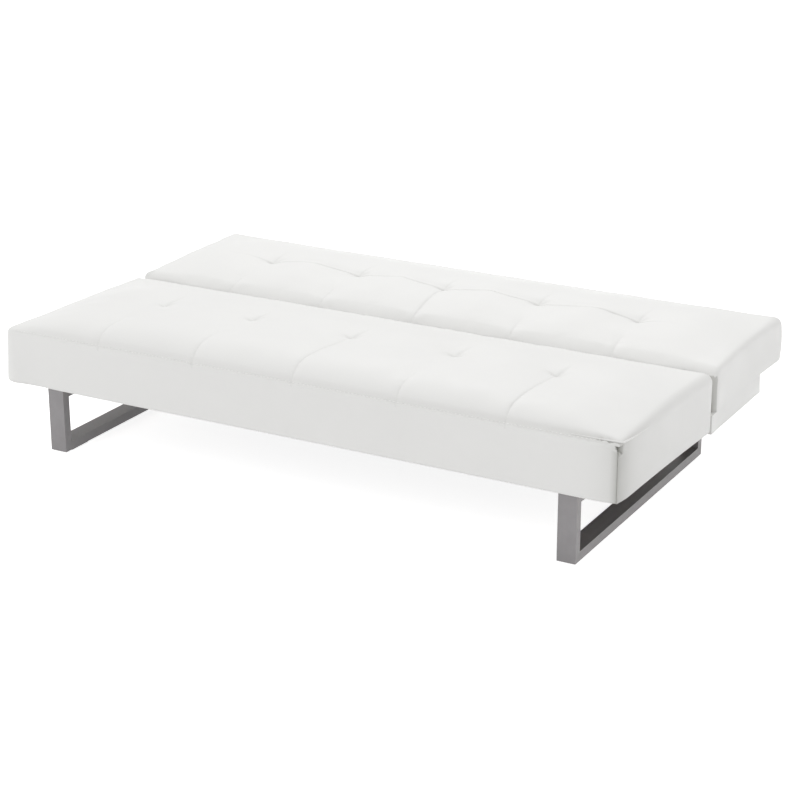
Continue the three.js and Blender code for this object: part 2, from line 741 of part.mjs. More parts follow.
forBothEnds((label, side) => {
  const across = (inner, outer) => [side * inner, side * outer];
  const bracketPlane = across(bracketInner, bracketInner + hingePlateThickness);
  const backArmPlane = across(backArmInner, backArmOuter);
  const seatArmPlane = across(seatArmInner, seatArmOuter);
  const pawlPlane = across(backArmInner, seatArmInner - fit);
  const pinSpan = across(bracketInner - fit, seatArmOuter + fit);
  const pin = headedPin(...pinSpan, pivotY, pivotZ, pinDiameter, pinHeadDiameter, pinHeadHeight);
  const pawlPinOutline = disc(pawlPivot.x, pawlPivot.y, pawlPinDiameter / 2);
  const pawlPin = plate(pawlPinOutline, ...across(backArmInner, seatArmOuter));
  addPiece(`${label}_hinge_bracket`, plate(bracketOutline(), ...bracketPlane), blackSteel);
  addPiece(`${label}_hinge_back_arm`, plate(backArmOutline(), ...backArmPlane), blackSteel);
  addPiece(`${label}_hinge_seat_arm`, plate(seatArmOutline(), ...seatArmPlane), blackSteel);
  addPiece(`${label}_hinge_pivot_pin`, pin, zincSteel);
  addPiece(`${label}_hinge_pawl`, plate(pawlOutline(), ...pawlPlane), zincSteel);
  addPiece(`${label}_hinge_pawl_pin`, pawlPin, zincSteel);
  addPiece(`${label}_hinge_pawl_spring`, plate(springOutline(), ...pawlPlane), zincSteel);
});

export default sofaBed;
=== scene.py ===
"""The looks of a click clack sofa bed: tufted leatherette covers, aprons, legs, inner works and a studio."""

import math

import bpy
import numpy as np
from bpy.props import FloatProperty, FloatVectorProperty, IntProperty, PointerProperty
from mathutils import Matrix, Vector
from mathutils.bvhtree import BVHTree


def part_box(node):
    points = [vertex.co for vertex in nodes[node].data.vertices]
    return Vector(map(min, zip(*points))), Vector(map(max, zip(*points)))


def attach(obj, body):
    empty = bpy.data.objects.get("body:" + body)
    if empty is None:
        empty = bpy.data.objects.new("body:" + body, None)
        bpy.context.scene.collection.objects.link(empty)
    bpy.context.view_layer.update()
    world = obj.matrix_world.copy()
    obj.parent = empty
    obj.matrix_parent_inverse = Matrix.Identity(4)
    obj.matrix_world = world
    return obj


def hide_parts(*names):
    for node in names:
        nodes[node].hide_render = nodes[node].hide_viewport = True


bl_info = {
    "name": "Click Clack Sofa Bed",
    "version": (1, 0, 0),
    "blender": (4, 5, 0),
    "location": "View3D > Sidebar > Sofa Bed",
    "description": "Makes the covers, finishes and studio of a click clack sofa bed around its packed frame",
    "category": "Object",
}

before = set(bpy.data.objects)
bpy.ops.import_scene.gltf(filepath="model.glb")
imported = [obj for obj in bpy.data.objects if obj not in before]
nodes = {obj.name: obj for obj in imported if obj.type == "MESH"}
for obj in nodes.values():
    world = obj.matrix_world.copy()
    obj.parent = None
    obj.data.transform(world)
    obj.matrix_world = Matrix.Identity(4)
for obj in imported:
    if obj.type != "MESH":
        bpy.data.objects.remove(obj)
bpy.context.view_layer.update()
SEAT_LOW, SEAT_HIGH = (np.array(corner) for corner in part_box("seat_cover"))
BACK_LOW, BACK_HIGH = (np.array(corner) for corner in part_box("back_cover"))
FRAME_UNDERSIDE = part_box("back_cover")[0][2]
PADDING_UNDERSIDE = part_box("seat_foam")[1][2]
HALF_LENGTH = SEAT_HIGH[0]
SHARP_EDGE = math.radians(55)


def length(name, description, default):
    """A length property in metres, down to the tenth of a millimetre."""
    return FloatProperty(name=name, description=description, default=default, unit="LENGTH", precision=4)


def drift(name, description, default):
    """A property with one short length for each tuft."""
    return FloatVectorProperty(
        name=name, description=description, default=default, size=5, unit="LENGTH", precision=4
    )


def colour(name, description, default):
    """A colour property."""
    return FloatVectorProperty(name=name, description=description, default=default, size=3, subtype="COLOR")


class SofaBedQuilting(bpy.types.PropertyGroup):
    """The shape of the padded covers."""

    panel_count: IntProperty(name="Panels", description="Quilted panels along each cushion", default=6, min=2)
    front_edge_height: length("Front edge height", "Height of the seat's front seam", 0.340)
    gap_edge_height: length("Gap edge height", "Height of the two cushions' edges beside the gap", 0.334)
    head_edge_height: length("Head edge height", "Height of the back cushion's far edge", 0.340)
    seat_crown: length("Seat crown", "Rise of the seat above its edges", 0.047)
    back_crown: length("Back crown", "Rise of the back above its edges", 0.035)
    pillow: length("Pillow", "Further rise of each panel between its seams", 0.003)
    puff: length("Puff limit", "Furthest that air pressure may move the cloth", 0.004)
    tuft_depth: length("Tuft depth", "Depth of the wide hollow round a tuft", 0.011)
    tuft_radius: length("Tuft radius", "Radius of the wide hollow round a tuft", 0.110)
    pinch_depth: length("Pinch depth", "Further depth of the sewn point of a tuft", 0.006)
    pinch_radius: length("Pinch radius", "Radius of the sewn point of a tuft", 0.022)
    channel_depth: length("Channel depth", "Depth of the soft channel along a seam", 0.0024)
    channel_width: length("Channel width", "Half width of the soft channel along a seam", 0.010)
    crease_depth: length("Crease depth", "Depth of the tight crease in a seam", 0.0026)
    crease_width: length("Crease width", "Half width of the tight crease in a seam", 0.0024)
    seat_tuft_drift: drift(
        "Seat tuft drift", "How far each of the seat's tufts lies along from its seam",
        (0.005, -0.008, 0.002, 0.009, -0.003),
    )
    back_tuft_drift: drift(
        "Back tuft drift", "How far each of the back's tufts lies along from its seam",
        (0.020, 0.014, -0.008, -0.010, -0.010),
    )
    seat_tuft_line: length("Seat tuft line", "Distance of the seat's tufts from its front edge", 0.306)
    back_tuft_line: length("Back tuft line", "Distance of the back's tufts from its edge at the gap", 0.210)
    draw_in: length("Draw in", "How far each side is drawn in midway between its corners", 0.006)
    skirt_front: length("Skirt front height", "Height of the seat's hem at the front", 0.186)
    skirt_rear: length("Skirt rear height", "Height of the seat's hem at the rear", 0.170)
    wall: length("Wall", "Thickness of the padded walls", 0.014)
    gap_wall: length("Gap wall", "Thickness of the padded walls beside the gap", 0.018)
    stitch: length("Stitch", "Length of one topstitch", 0.0064)
    stitch_step: length("Stitch step", "Distance from one topstitch to the next", 0.0107)
    stitch_drop: length("Stitch drop", "Distance of the topstitch below the front seam", 0.002)


class SofaBedFinish(bpy.types.PropertyGroup):
    """The colours of the bed."""

    leatherette: colour("Leatherette", "White of the covers", (0.868, 0.866, 0.852))
    gunmetal: colour("Gunmetal", "Satin grey of the legs", (0.255, 0.245, 0.25))
    timber: colour("Timber", "Sawn softwood of the frames", (0.56, 0.39, 0.22))
    foam: colour("Foam", "Upholstery foam", (0.80, 0.74, 0.52))


class SofaBedStudio(bpy.types.PropertyGroup):
    """The camera and the lights."""

    camera_place: FloatVectorProperty(
        name="Camera place", description="Where the camera stands", subtype="XYZ", size=3, unit="LENGTH",
        default=(2.6346, -4.7643, 2.1016),
    )
    camera_tilt: FloatProperty(
        name="Camera tilt", description="Angle of the view up from straight down", subtype="ANGLE",
        default=math.radians(69.917),
    )
    camera_turn: FloatProperty(
        name="Camera turn", description="Turn of the view to the left of straight on", subtype="ANGLE",
        default=math.radians(28.904),
    )
    focal_length: FloatProperty(name="Focal length", description="Lens in millimetres", default=94.065)
    sky_low: FloatProperty(name="Low sky", description="Light from below and from the right", default=0.30)
    sky_high: FloatProperty(name="High sky", description="Light from above and from the left", default=1.04)
    key_power: FloatProperty(
        name="Key power", description="Soft light above and behind", default=22.0, subtype="POWER"
    )
    fill_power: FloatProperty(
        name="Fill power", description="Soft light from the front", default=7.0, subtype="POWER"
    )


# Materials


def add_node(tree, kind, inputs=None, **settings):
    """A new shader node with its settings, and its inputs set or linked."""
    made = tree.nodes.new("ShaderNode" + kind)
    for key, value in settings.items():
        setattr(made, key, value)
    for key, value in (inputs or {}).items():
        if isinstance(value, bpy.types.NodeSocket):
            tree.links.new(value, made.inputs[key])
        else:
            made.inputs[key].default_value = value
    return made


def shaded(tone, share):
    """A colour made lighter or darker."""
    return tuple(min(1.0, channel * share) for channel in tone)


class Recipe:
    """A node material in the making, in the object's own coordinates."""

    def __init__(self, name):
        self.material = bpy.data.materials.new(name)
        self.material.use_nodes = True
        self.tree = self.material.node_tree
        self.shader = self.tree.nodes["Principled BSDF"]
        self.places = self.add("TexCoord").outputs["Object"]
        self.relief = None

    def add(self, kind, inputs=None, **settings):
        """A new node in this material."""
        return add_node(self.tree, kind, inputs, **settings)

    def join(self, output, name):
        """Joins an output to one of the shader's sockets."""
        self.tree.links.new(output, self.shader.inputs[name])

    def stretched(self, scale):
        """The coordinates, stretched along the axes."""
        return self.add("Mapping", {"Vector": self.places, "Scale": scale}).outputs["Vector"]

    def noise(self, scale, detail, places=None, roughness=0.5):
        """A noise pattern's factor."""
        inputs = {"Scale": scale, "Detail": detail, "Roughness": roughness}
        inputs["Vector"] = self.places if places is None else places
        return self.add("TexNoise", inputs).outputs["Fac"]

    def wave(self, scale, distortion, direction):
        """A wave pattern's factor."""
        inputs = {"Vector": self.places, "Scale": scale, "Distortion": distortion}
        return self.add("TexWave", inputs, bands_direction=direction).outputs["Fac"]

    def tone(self, factor, dark, light):
        """A colour between two, by a factor."""
        ramp = self.add("ValToRGB", {"Fac": factor})
        for element, shade in zip(ramp.color_ramp.elements, (dark, light)):
            element.color = (*shade, 1)
        return ramp.outputs["Color"]

    def remap(self, value, low, high, start=0.3, end=0.7):
        """The value carried from start..end to low..high."""
        inputs = {"Value": value, "From Min": start, "From Max": end, "To Min": low, "To Max": high}
        return self.add("MapRange", inputs).outputs["Result"]

    def bump(self, height, strength, distance):
        """One more layer of relief, on top of the others."""
        inputs = {"Height": height, "Strength": strength, "Distance": distance}
        if self.relief:
            inputs["Normal"] = self.relief
        self.relief = self.add("Bump", inputs).outputs["Normal"]

    def finished(self, **values):
        """The material, with its relief joined and its even values set."""
        self.join(self.relief, "Normal")
        for name, value in values.items():
            self.shader.inputs[name.replace("_", " ")].default_value = value
        return self.material


def leatherette_material(white):
    """Smooth coated cloth: fine pebble grain, faint drag lines, a soft sheen, and painted shade, a dark brownish
    tone laid on by a point attribute in its seams, creases and corners.
    """
    it = Recipe("white_leatherette")
    pebbled = {"Vector": it.places, "Scale": 620.0, "Randomness": 0.9}
    grain = it.add("TexVoronoi", pebbled, feature="SMOOTH_F1").outputs["Distance"]
    drag = it.noise(24.0, 3.0, roughness=0.55)
    tone = it.tone(it.noise(5.0, 2.0), shaded(white, 0.985), shaded(white, 1.012))
    # Painted shade: the point attribute below mixes the white toward a dark brownish tone where the seams,
    # creases, slit and corner gape fall into shade; in the gape it also stands for the brown backing.
    painted_shade = it.add("Attribute", attribute_name="painted_shade").outputs["Fac"]
    shade_tone = (*shaded(white, 0.28)[:2], 0.25 * white[2], 1)
    shaded_leather = it.add("Mix", {0: painted_shade, 6: tone, 7: shade_tone}, data_type="RGBA")
    it.join(shaded_leather.outputs[2], "Base Color")
    it.join(it.remap(drag, 0.40, 0.52), "Roughness")
    it.bump(grain, 0.10, 0.0004)
    it.bump(it.noise(900.0, 2.0), 0.08, 0.0003)
    it.bump(drag, 0.10, 0.004)
    return it.finished(Specular_IOR_Level=0.3)


def thread_material(white):
    """Polyester sewing thread: twisted, slightly brighter than the leatherette."""
    it = Recipe("white_thread")
    twist = it.wave(900.0, 1.0, "DIAGONAL")
    it.join(it.tone(twist, shaded(white, 0.9), shaded(white, 1.04)), "Base Color")
    it.bump(twist, 0.4, 0.0003)
    return it.finished(Roughness=0.6)


def gunmetal_material(grey):
    """Satin grey enamel on steel tube: brushed along the tube, with faint mottling and handling marks."""
    it = Recipe("satin_gunmetal")
    brushed = it.noise(90.0, 4.0, it.stretched((9.0, 1.2, 1.2)))
    it.join(it.tone(it.noise(36.0, 3.0), shaded(grey, 0.9), shaded(grey, 1.1)), "Base Color")
    it.join(it.remap(brushed, 0.30, 0.44), "Roughness")
    it.bump(brushed, 0.06, 0.0006)
    it.bump(it.noise(1400.0, 1.0), 0.05, 0.0002)
    return it.finished(Metallic=0.25)


def timber_material(wood):
    """Sawn softwood: long grain with rings, saw marks and small dark knots."""
    it = Recipe("sawn_timber")
    along = it.stretched((1.0, 1.0, 6.0))
    warp = it.add("TexNoise", {"Vector": along, "Scale": 3.0, "Detail": 4.0}).outputs["Color"]
    mix = it.add("Mix", data_type="VECTOR", inputs={0: 0.35, 4: along, 5: warp})
    grown = {"Vector": mix.outputs[1], "Scale": 14.0, "Distortion": 4.0, "Detail": 3.0}
    rings = it.add("TexWave", grown, wave_type="RINGS").outputs["Fac"]
    fibre = it.noise(260.0, 3.0)
    knots = it.add("TexVoronoi", {"Vector": along, "Scale": 4.5}).outputs["Distance"]
    near = it.remap(knots, 0.45, 1.0, 0.03, 0.10)
    grey = it.add("CombineColor", {"Red": near, "Green": near, "Blue": near}).outputs["Color"]
    tone = it.tone(rings, shaded(wood, 0.72), shaded(wood, 1.12))
    dark = it.add("Mix", {0: 1.0, 6: tone, 7: grey}, data_type="RGBA", blend_type="MULTIPLY")
    it.join(dark.outputs[2], "Base Color")
    it.join(it.remap(fibre, 0.6, 0.8, 0.0, 1.0), "Roughness")
    it.bump(fibre, 0.25, 0.0008)
    return it.finished()


def foam_material(yellow):
    """Open cell upholstery foam: fine pits and a slightly aged tone."""
    it = Recipe("upholstery_foam")
    cells = it.add("TexVoronoi", {"Vector": it.places, "Scale": 520.0}).outputs["Distance"]
    it.join(it.tone(it.noise(9.0, 2.0), shaded(yellow, 0.88), shaded(yellow, 1.05)), "Base Color")
    it.bump(cells, 0.5, 0.001)
    return it.finished(Roughness=0.92)


def black_cloth_material():
    """Spun black dust cloth: crossed fibres with a dry, matt face."""
    it = Recipe("black_dust_cloth")
    crossed = {0: it.wave(420.0, 1.5, "X"), 1: it.wave(420.0, 1.5, "Y")}
    it.join(it.tone(it.noise(60.0, 4.0), (0.012, 0.012, 0.013), (0.032, 0.032, 0.034)), "Base Color")
    it.bump(it.add("Math", crossed, operation="MULTIPLY").outputs[0], 0.4, 0.0006)
    return it.finished(Roughness=0.95)


def metal_material(name, tones, roughness, metallic):
    """Pressed steel: stamping scratches under its coat, with paler worn spots."""
    it = Recipe(name)
    scratch = it.noise(160.0, 5.0, it.stretched((1.0, 7.0, 2.0)))
    it.join(it.tone(scratch, *tones), "Base Color")
    it.join(it.remap(scratch, roughness - 0.08, roughness + 0.08), "Roughness")
    it.bump(it.noise(700.0, 1.0), 0.12, 0.0004)
    return it.finished(Metallic=metallic)


def black_plastic_material():
    """Moulded black plastic: a fine spark-eroded texture with scuffed tops."""
    it = Recipe("black_moulded_plastic")
    scuff = it.noise(70.0, 4.0)
    it.join(it.tone(scuff, (0.014, 0.014, 0.015), (0.04, 0.04, 0.042)), "Base Color")
    it.join(it.remap(scuff, 0.42, 0.62), "Roughness")
    it.bump(it.noise(1100.0, 2.0), 0.25, 0.0004)
    return it.finished()


BLACK_COAT = ((0.02, 0.02, 0.022), (0.05, 0.05, 0.055))
ZINC = ((0.52, 0.53, 0.55), (0.68, 0.69, 0.70))
FINISHES = {
    "leatherette": lambda colours: leatherette_material(colours.leatherette),
    "thread": lambda colours: thread_material(shaded(colours.leatherette, 1.1)),
    "gunmetal": lambda colours: gunmetal_material(colours.gunmetal),
    "timber": lambda colours: timber_material(colours.timber),
    "foam": lambda colours: foam_material(colours.foam),
    "black_cloth": lambda colours: black_cloth_material(),
    "black_steel": lambda colours: metal_material("black_steel_coat", BLACK_COAT, 0.48, 0.3),
    "zinc_steel": lambda colours: metal_material("zinc_plated_steel", ZINC, 0.32, 1.0),
    "black_plastic": lambda colours: black_plastic_material(),
}
made_finishes = {}


def finish(slot):
    """The material for a slot of the record, made once."""
    if slot not in made_finishes:
        made_finishes[slot] = FINISHES[slot](bpy.context.scene.sofa_bed_finish)
    return made_finishes[slot]


def refinish(node_names, bevel=0.0):
    """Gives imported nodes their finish, and softens their edges if asked."""
    for name in node_names:
        node = nodes[name]
        for place in node.material_slots:
            place.material = finish(place.material.name.split(".")[0])
        if bevel:
            soften = node.modifiers.new("edge_softening", "BEVEL")
            soften.width = bevel
            soften.segments = 2
            soften.limit_method = "ANGLE"
            soften.angle_limit = math.radians(35)
            soften.harden_normals = True


# Meshes


def mesh_object(name, points, faces, slot):
    """A smooth shaded mesh object in the finish for the slot."""
    mesh = bpy.data.meshes.new(name)
    mesh.from_pydata([tuple(point) for point in points], [], faces)
    mesh.validate()
    mesh.update()
    made = bpy.data.objects.new(name, mesh)
    bpy.context.collection.objects.link(made)
    mesh.materials.append(finish(slot))
    mesh.shade_smooth()
    mesh.set_sharp_from_angle(angle=SHARP_EDGE)
    return made


def skin_of(piece):
    """A piece's surface, to lay other things on."""
    mesh = piece.data
    return BVHTree.FromPolygons([v.co for v in mesh.vertices], [p.vertices for p in mesh.polygons])


def tube_faces(first, rings, sides):
    """Quads between rings of points that follow each other, and the two ends."""
    faces = []
    for ring in range(rings - 1):
        for side in range(sides):
            a = first + ring * sides + side
            b = first + ring * sides + (side + 1) % sides
            faces.append((a, b, b + sides, a + sides))
    faces.append(tuple(first + side for side in reversed(range(sides))))
    faces.append(tuple(first + (rings - 1) * sides + side for side in range(sides)))
    return faces


def graded_lines(start, end, centres, reach, fine, coarse):
    """Places from start to end, a fine step apart at the centres and a coarse one away from them."""
    steps = np.linspace(start, end, 6000)
    distance = np.min(np.abs(steps[:, None] - np.array(centres)[None, :]), axis=1)
    spacing = coarse + (fine - coarse) * np.exp(-((distance / reach) ** 4))
    counted = np.concatenate([[0], np.cumsum((1 / spacing[1:] + 1 / spacing[:-1]) / 2 * np.diff(steps))])
    return np.interp(np.linspace(0, counted[-1], round(counted[-1]) + 1), counted, steps)


def resampled(values, old, new):
    """Values along the first axis, carried from the old places to the new by a smooth curve."""
    slopes = np.gradient(values, old, axis=0)
    k = np.clip(np.searchsorted(old, new) - 1, 0, len(old) - 2)
    widths = old[k + 1] - old[k]
    shape = (-1,) + (1,) * (values.ndim - 1)
    t = ((new - old[k]) / widths).reshape(shape)
    width = widths.reshape(shape)
    here = (2 * t**3 - 3 * t**2 + 1) * values[k] + (t**3 - 2 * t**2 + t) * width * slopes[k]
    there = (3 * t**2 - 2 * t**3) * values[k + 1] + (t**3 - t**2) * width * slopes[k + 1]
    return here + there


def hollow(distance, width):
    """A smooth hollow, 1 at its middle."""
    return np.exp(-((distance / width) ** 2))


def share_between(place, start, end):
    """How far along a place lies from start to end, from 0 to 1."""
    return np.clip((place - start) / (end - start), 0, 1)


def waves(x, y, seed, wavelength):
    """An even, irregular ripple between about -1 and 1."""
    random = np.random.default_rng(seed)
    total = np.zeros(np.broadcast(x, y).shape)
    for _ in range(9):
        angle = random.uniform(0, math.pi)
        number = 2 * math.pi / (wavelength * random.uniform(0.75, 1.5))
        total += np.sin(number * (x * math.cos(angle) + y * math.sin(angle)) + random.uniform(0, 2 * math.pi))
    return total / 4


def strokes_depth(x, y, strokes):
    """Depth at plan places of sewn or folded strokes: each a start, an end, two depths and a half width."""
    total = np.zeros(np.broadcast(x, y).shape)
    for (x0, y0), (x1, y1), depth0, depth1, width in strokes:
        dx, dy = x1 - x0, y1 - y0
        share = np.clip(((x - x0) * dx + (y - y0) * dy) / (dx * dx + dy * dy), 0, 1)
        distance = np.hypot(x - x0 - share * dx, y - y0 - share * dy)
        total = np.maximum(total, (depth0 + (depth1 - depth0) * share) * hollow(distance, width))
    return total


class Cushion:
    """The outside of a padded cover: a tufted top, rolled edges and walls down to the hem.

    radii are those of the front, rear and end rolls. top and hem are heights, boxy and squareness sharpen
    the rolls and the corners, and wall_detail is how far the walls are pressed in, each by place.
    """

    ROLL_STEPS = 12
    WALL_SHARES = (0.02, 0.05, 0.09, 0.14, 0.20, 0.27, 0.35, 0.44, 0.54, 0.64, 0.74, 0.83, 0.91, 0.97)
    HEM_TURNS = (0.0, 0.25, 0.5, 0.75, 1.0)
    CORNER_STEPS = 12
    CORNER_REACH = 0.05

    def __init__(self, front, rear, radii, top, hem, boxy, squareness, hem_radius, draw_in, wall_detail):
        self.front, self.rear = front, rear
        self.front_radius, self.rear_radius, self.end_radius = radii
        self.top, self.hem, self.boxy, self.squareness = top, hem, boxy, squareness
        self.hem_radius, self.draw_in, self.wall_detail = hem_radius, draw_in, wall_detail

    def ring_shares(self):
        """For each ring its roll angle, its share of the wall and its share of the hem's turn."""
        quarter = math.pi / 2
        rings = [(quarter * i / self.ROLL_STEPS, 0, 0) for i in range(self.ROLL_STEPS + 1)]
        rings += [(quarter, share, 0) for share in self.WALL_SHARES]
        rings += [(quarter, 1, turn) for turn in self.HEM_TURNS]
        return [np.array(column) for column in zip(*rings)]

    def rim(self, xs, ys):
        """Places round the top's grid, with the way each faces, its bow and its distance round."""
        corner = [math.pi / 2 * i / self.CORNER_STEPS for i in range(1, self.CORNER_STEPS)]
        sides = [
            (xs, np.full(len(xs), ys[0]), -math.pi / 2),
            (np.full(len(ys), xs[-1]), ys, 0.0),
            (xs[::-1], np.full(len(xs), ys[-1]), math.pi / 2),
            (np.full(len(ys), xs[0]), ys[::-1], math.pi),
        ]
        rows, start = [], 0.0
        for side_x, side_y, facing in sides:
            run = np.abs(side_x - side_x[0]) + np.abs(side_y - side_y[0])
            share = run / run[-1]
            rows += zip(side_x, side_y, [facing] * len(run), 4 * share * (1 - share), start + run)
            start += run[-1]
            reach = self.CORNER_REACH
            rows += [(side_x[-1], side_y[-1], facing + turn, 0.0, start + reach * turn) for turn in corner]
            start += reach * math.pi / 2
        return [np.array(column) for column in zip(*rows)]

    def points(self, xs, ys):
        """The top's grid of points and the wall's, from the rim outward."""
        grid_x, grid_y = np.meshgrid(xs, ys, indexing="ij")
        top = np.stack([grid_x, grid_y, self.top(grid_x, grid_y)], axis=-1)
        x, y, angle, bow, _ = (column[:, None] for column in self.rim(xs, ys))
        rolls, shares, turns = (row[None, :] for row in self.ring_shares())
        square = self.squareness(x, y)
        out_x = np.sign(np.cos(angle)) * np.abs(np.cos(angle)) ** square
        out_y = np.sign(np.sin(angle)) * np.abs(np.sin(angle)) ** square
        side_radius = np.where(y == ys[0], self.front_radius, self.rear_radius)
        height = self.end_radius * np.cos(angle) ** 2 + side_radius * np.sin(angle) ** 2
        boxy = 1 + (self.boxy(x, y) - 1) * np.cos(angle) ** 2
        sine = np.sin(rolls) ** boxy
        cosine = np.cos(rolls) ** boxy
        drawn = self.draw_in * bow * sine * (1 + np.sin(shares * math.pi)) / 2
        turned = self.hem_radius(x, y)
        tuck = turned * (1 - np.cos(turns * math.pi / 2))
        wall_x = x + out_x * (self.end_radius * sine - drawn - tuck)
        wall_y = y + out_y * (side_radius * sine - drawn - tuck)
        rolled = self.top(wall_x, wall_y) - height * (1 - cosine)
        hem = self.hem(wall_y) + turned * (1 - np.sin(turns * math.pi / 2))
        wall_z = rolled + (hem - rolled) * shares
        return top, np.stack([wall_x, wall_y, wall_z], axis=-1)

    def faces(self, xs, ys):
        """Quads of the top and the wall, with a fan under the hem. Points: top grid, wall rings, middle."""
        n, m = len(xs), len(ys)
        corners = [i * m + j for i in range(n - 1) for j in range(m - 1)]
        quads = [(a, a + m, a + m + 1, a + 1) for a in corners]
        rim_x, rim_y, *_ = self.rim(xs, ys)
        rim = np.searchsorted(xs, rim_x) * m + np.searchsorted(ys, rim_y)
        rings = len(self.ring_shares()[0])
        count, first = len(rim), n * m

        def at(p, k):
            return int(rim[p]) if k == 0 else first + p * (rings - 1) + k - 1

        middle = first + count * (rings - 1)
        for p in range(count):
            q = (p + 1) % count
            for k in range(rings - 1):
                quad = (at(p, k), at(p, k + 1), at(q, k + 1), at(q, k))
                quads.append(tuple(dict.fromkeys(quad)))
            quads.append((at(p, rings - 1), middle, at(q, rings - 1)))
        return quads

    def gathered(self, top, wall):
        """One list of points in the order that faces() counts them."""
        middle_y = (self.front + self.rear) / 2
        middle = np.array([[0.0, middle_y, self.hem(middle_y)]])
        return np.concatenate([top.reshape(-1, 3), wall[:, 1:].reshape(-1, 3), middle])

    def lines(self, seams, tuft_y, fine):
        """Grid lines of the top, close together at the seams if fine."""
        x_end = HALF_LENGTH - self.end_radius
        y_ends = self.front + self.front_radius, self.rear - self.rear_radius
        if not fine:
            return np.linspace(-x_end, x_end, 131), np.linspace(*y_ends, 40)
        xs = graded_lines(-x_end, x_end, [*seams, -x_end, x_end], 0.034, 0.0022, 0.011)
        return xs, graded_lines(*y_ends, [tuft_y, y_ends[0]], 0.05, 0.0024, 0.010)


def cloth_shift(cushion, xs, ys, held, limit):
    """How far air pressure moves each point of a coarse skin, held where it is sewn or boarded."""
    top, wall = cushion.points(xs, ys)
    points = cushion.gathered(top, wall)
    skin = mesh_object("cloth_trial", points, cushion.faces(xs, ys), "leatherette")
    group = skin.vertex_groups.new(name="held")
    weights = np.round(held(points), 1)
    for level in np.unique(weights):
        if level > 0:
            group.add([int(i) for i in np.nonzero(weights == level)[0]], float(level), "REPLACE")
    cloth = skin.modifiers.new("cloth", "CLOTH")
    for name, value in (
        ("quality", 5), ("mass", 0.4), ("tension_stiffness", 12), ("compression_stiffness", 12),
        ("shear_stiffness", 4), ("bending_stiffness", 4.0), ("use_pressure", True),
        ("uniform_pressure_force", 4), ("vertex_group_mass", "held"), ("pin_stiffness", 1),
        ("shrink_min", -0.003),
    ):
        setattr(cloth.settings, name, value)
    cloth.settings.effector_weights.gravity = 0
    cloth.collision_settings.use_collision = False
    scene = bpy.context.scene
    for step in range(1, 21):
        scene.frame_set(step)
    settled = skin.evaluated_get(bpy.context.evaluated_depsgraph_get())
    moved = np.empty(len(points) * 3)
    settled.data.vertices.foreach_get("co", moved)
    shift = moved.reshape(-1, 3) - points
    bpy.data.objects.remove(skin)
    scene.frame_set(1)
    reach = np.linalg.norm(shift, axis=1, keepdims=True)
    shift *= limit * np.tanh(reach / limit) / np.maximum(reach, 1e-9)
    still_end = 0.16
    shift *= np.clip((HALF_LENGTH - np.abs(points[:, :1])) / still_end, 0, 1) ** 2
    count = top.shape[0] * top.shape[1]
    top_shift = shift[:count].reshape(top.shape)
    for _ in range(3):
        across = top_shift[:-2, 1:-1] + top_shift[2:, 1:-1] + top_shift[1:-1, :-2] + top_shift[1:-1, 2:]
        top_shift[1:-1, 1:-1] = top_shift[1:-1, 1:-1] / 2 + across / 8
    rest = shift[count:-1].reshape(wall.shape[0], wall.shape[1] - 1, 3)
    rim_x, rim_y, *_ = cushion.rim(xs, ys)
    first = top_shift[np.searchsorted(xs, rim_x), np.searchsorted(ys, rim_y)][:, None]
    return top_shift, np.concatenate([first, rest], axis=1)


def padded_form(name, cushion, seams, tuft_y, held, detail, limit):
    """A closed cushion mesh: the fine skin, moved as the cloth moved, with its sewn details."""
    fine_xs, fine_ys = cushion.lines(seams, tuft_y, True)
    top, wall = cushion.points(fine_xs, fine_ys)
    rim_x, rim_y, angle, _, new = cushion.rim(fine_xs, fine_ys)
    xs, ys = cushion.lines(seams, tuft_y, False)
    top_shift, wall_shift = cloth_shift(cushion, xs, ys, held, limit)
    along_x = resampled(top_shift, xs, fine_xs)
    top += resampled(along_x.swapaxes(0, 1), ys, fine_ys).swapaxes(0, 1)
    old = cushion.rim(xs, ys)[-1]
    end = new[-1] + (new[1] - new[0])
    closed = np.concatenate([wall_shift, wall_shift[:1]])
    wall += resampled(closed, np.append(old, max(end, old[-1] + 0.004)), new)
    wall[:, 0] = top[np.searchsorted(fine_xs, rim_x), np.searchsorted(fine_ys, rim_y)]
    grid_x, grid_y = np.meshgrid(fine_xs, fine_ys, indexing="ij")
    top[..., 2] -= detail(grid_x, grid_y)
    angle = angle[:, None]
    rolls, shares, _ = (row[None, :] for row in cushion.ring_shares())
    fade = np.cos(rolls) ** 0.6 * (shares == 0)
    depth = detail(wall[..., 0], wall[..., 1]) * fade
    level = np.cos(rolls) + 0 * angle
    out = np.stack([np.cos(angle) * np.sin(rolls), np.sin(angle) * np.sin(rolls), level], axis=-1)
    wall -= out * depth[..., None]
    wall -= out * cushion.wall_detail(wall, angle, rolls, shares)[..., None]
    points = cushion.gathered(top, wall)
    return mesh_object(name, points, cushion.faces(fine_xs, fine_ys), "leatherette")


def box_mesh(x0, x1, y0, y1, z0, z1):
    """The corners and faces of a box."""
    corners = [(x, y, z) for x in (x0, x1) for y in (y0, y1) for z in (z0, z1)]
    faces = [(0, 1, 3, 2), (4, 6, 7, 5), (0, 4, 5, 1), (2, 3, 7, 6), (0, 2, 6, 4), (1, 5, 7, 3)]
    return corners, faces


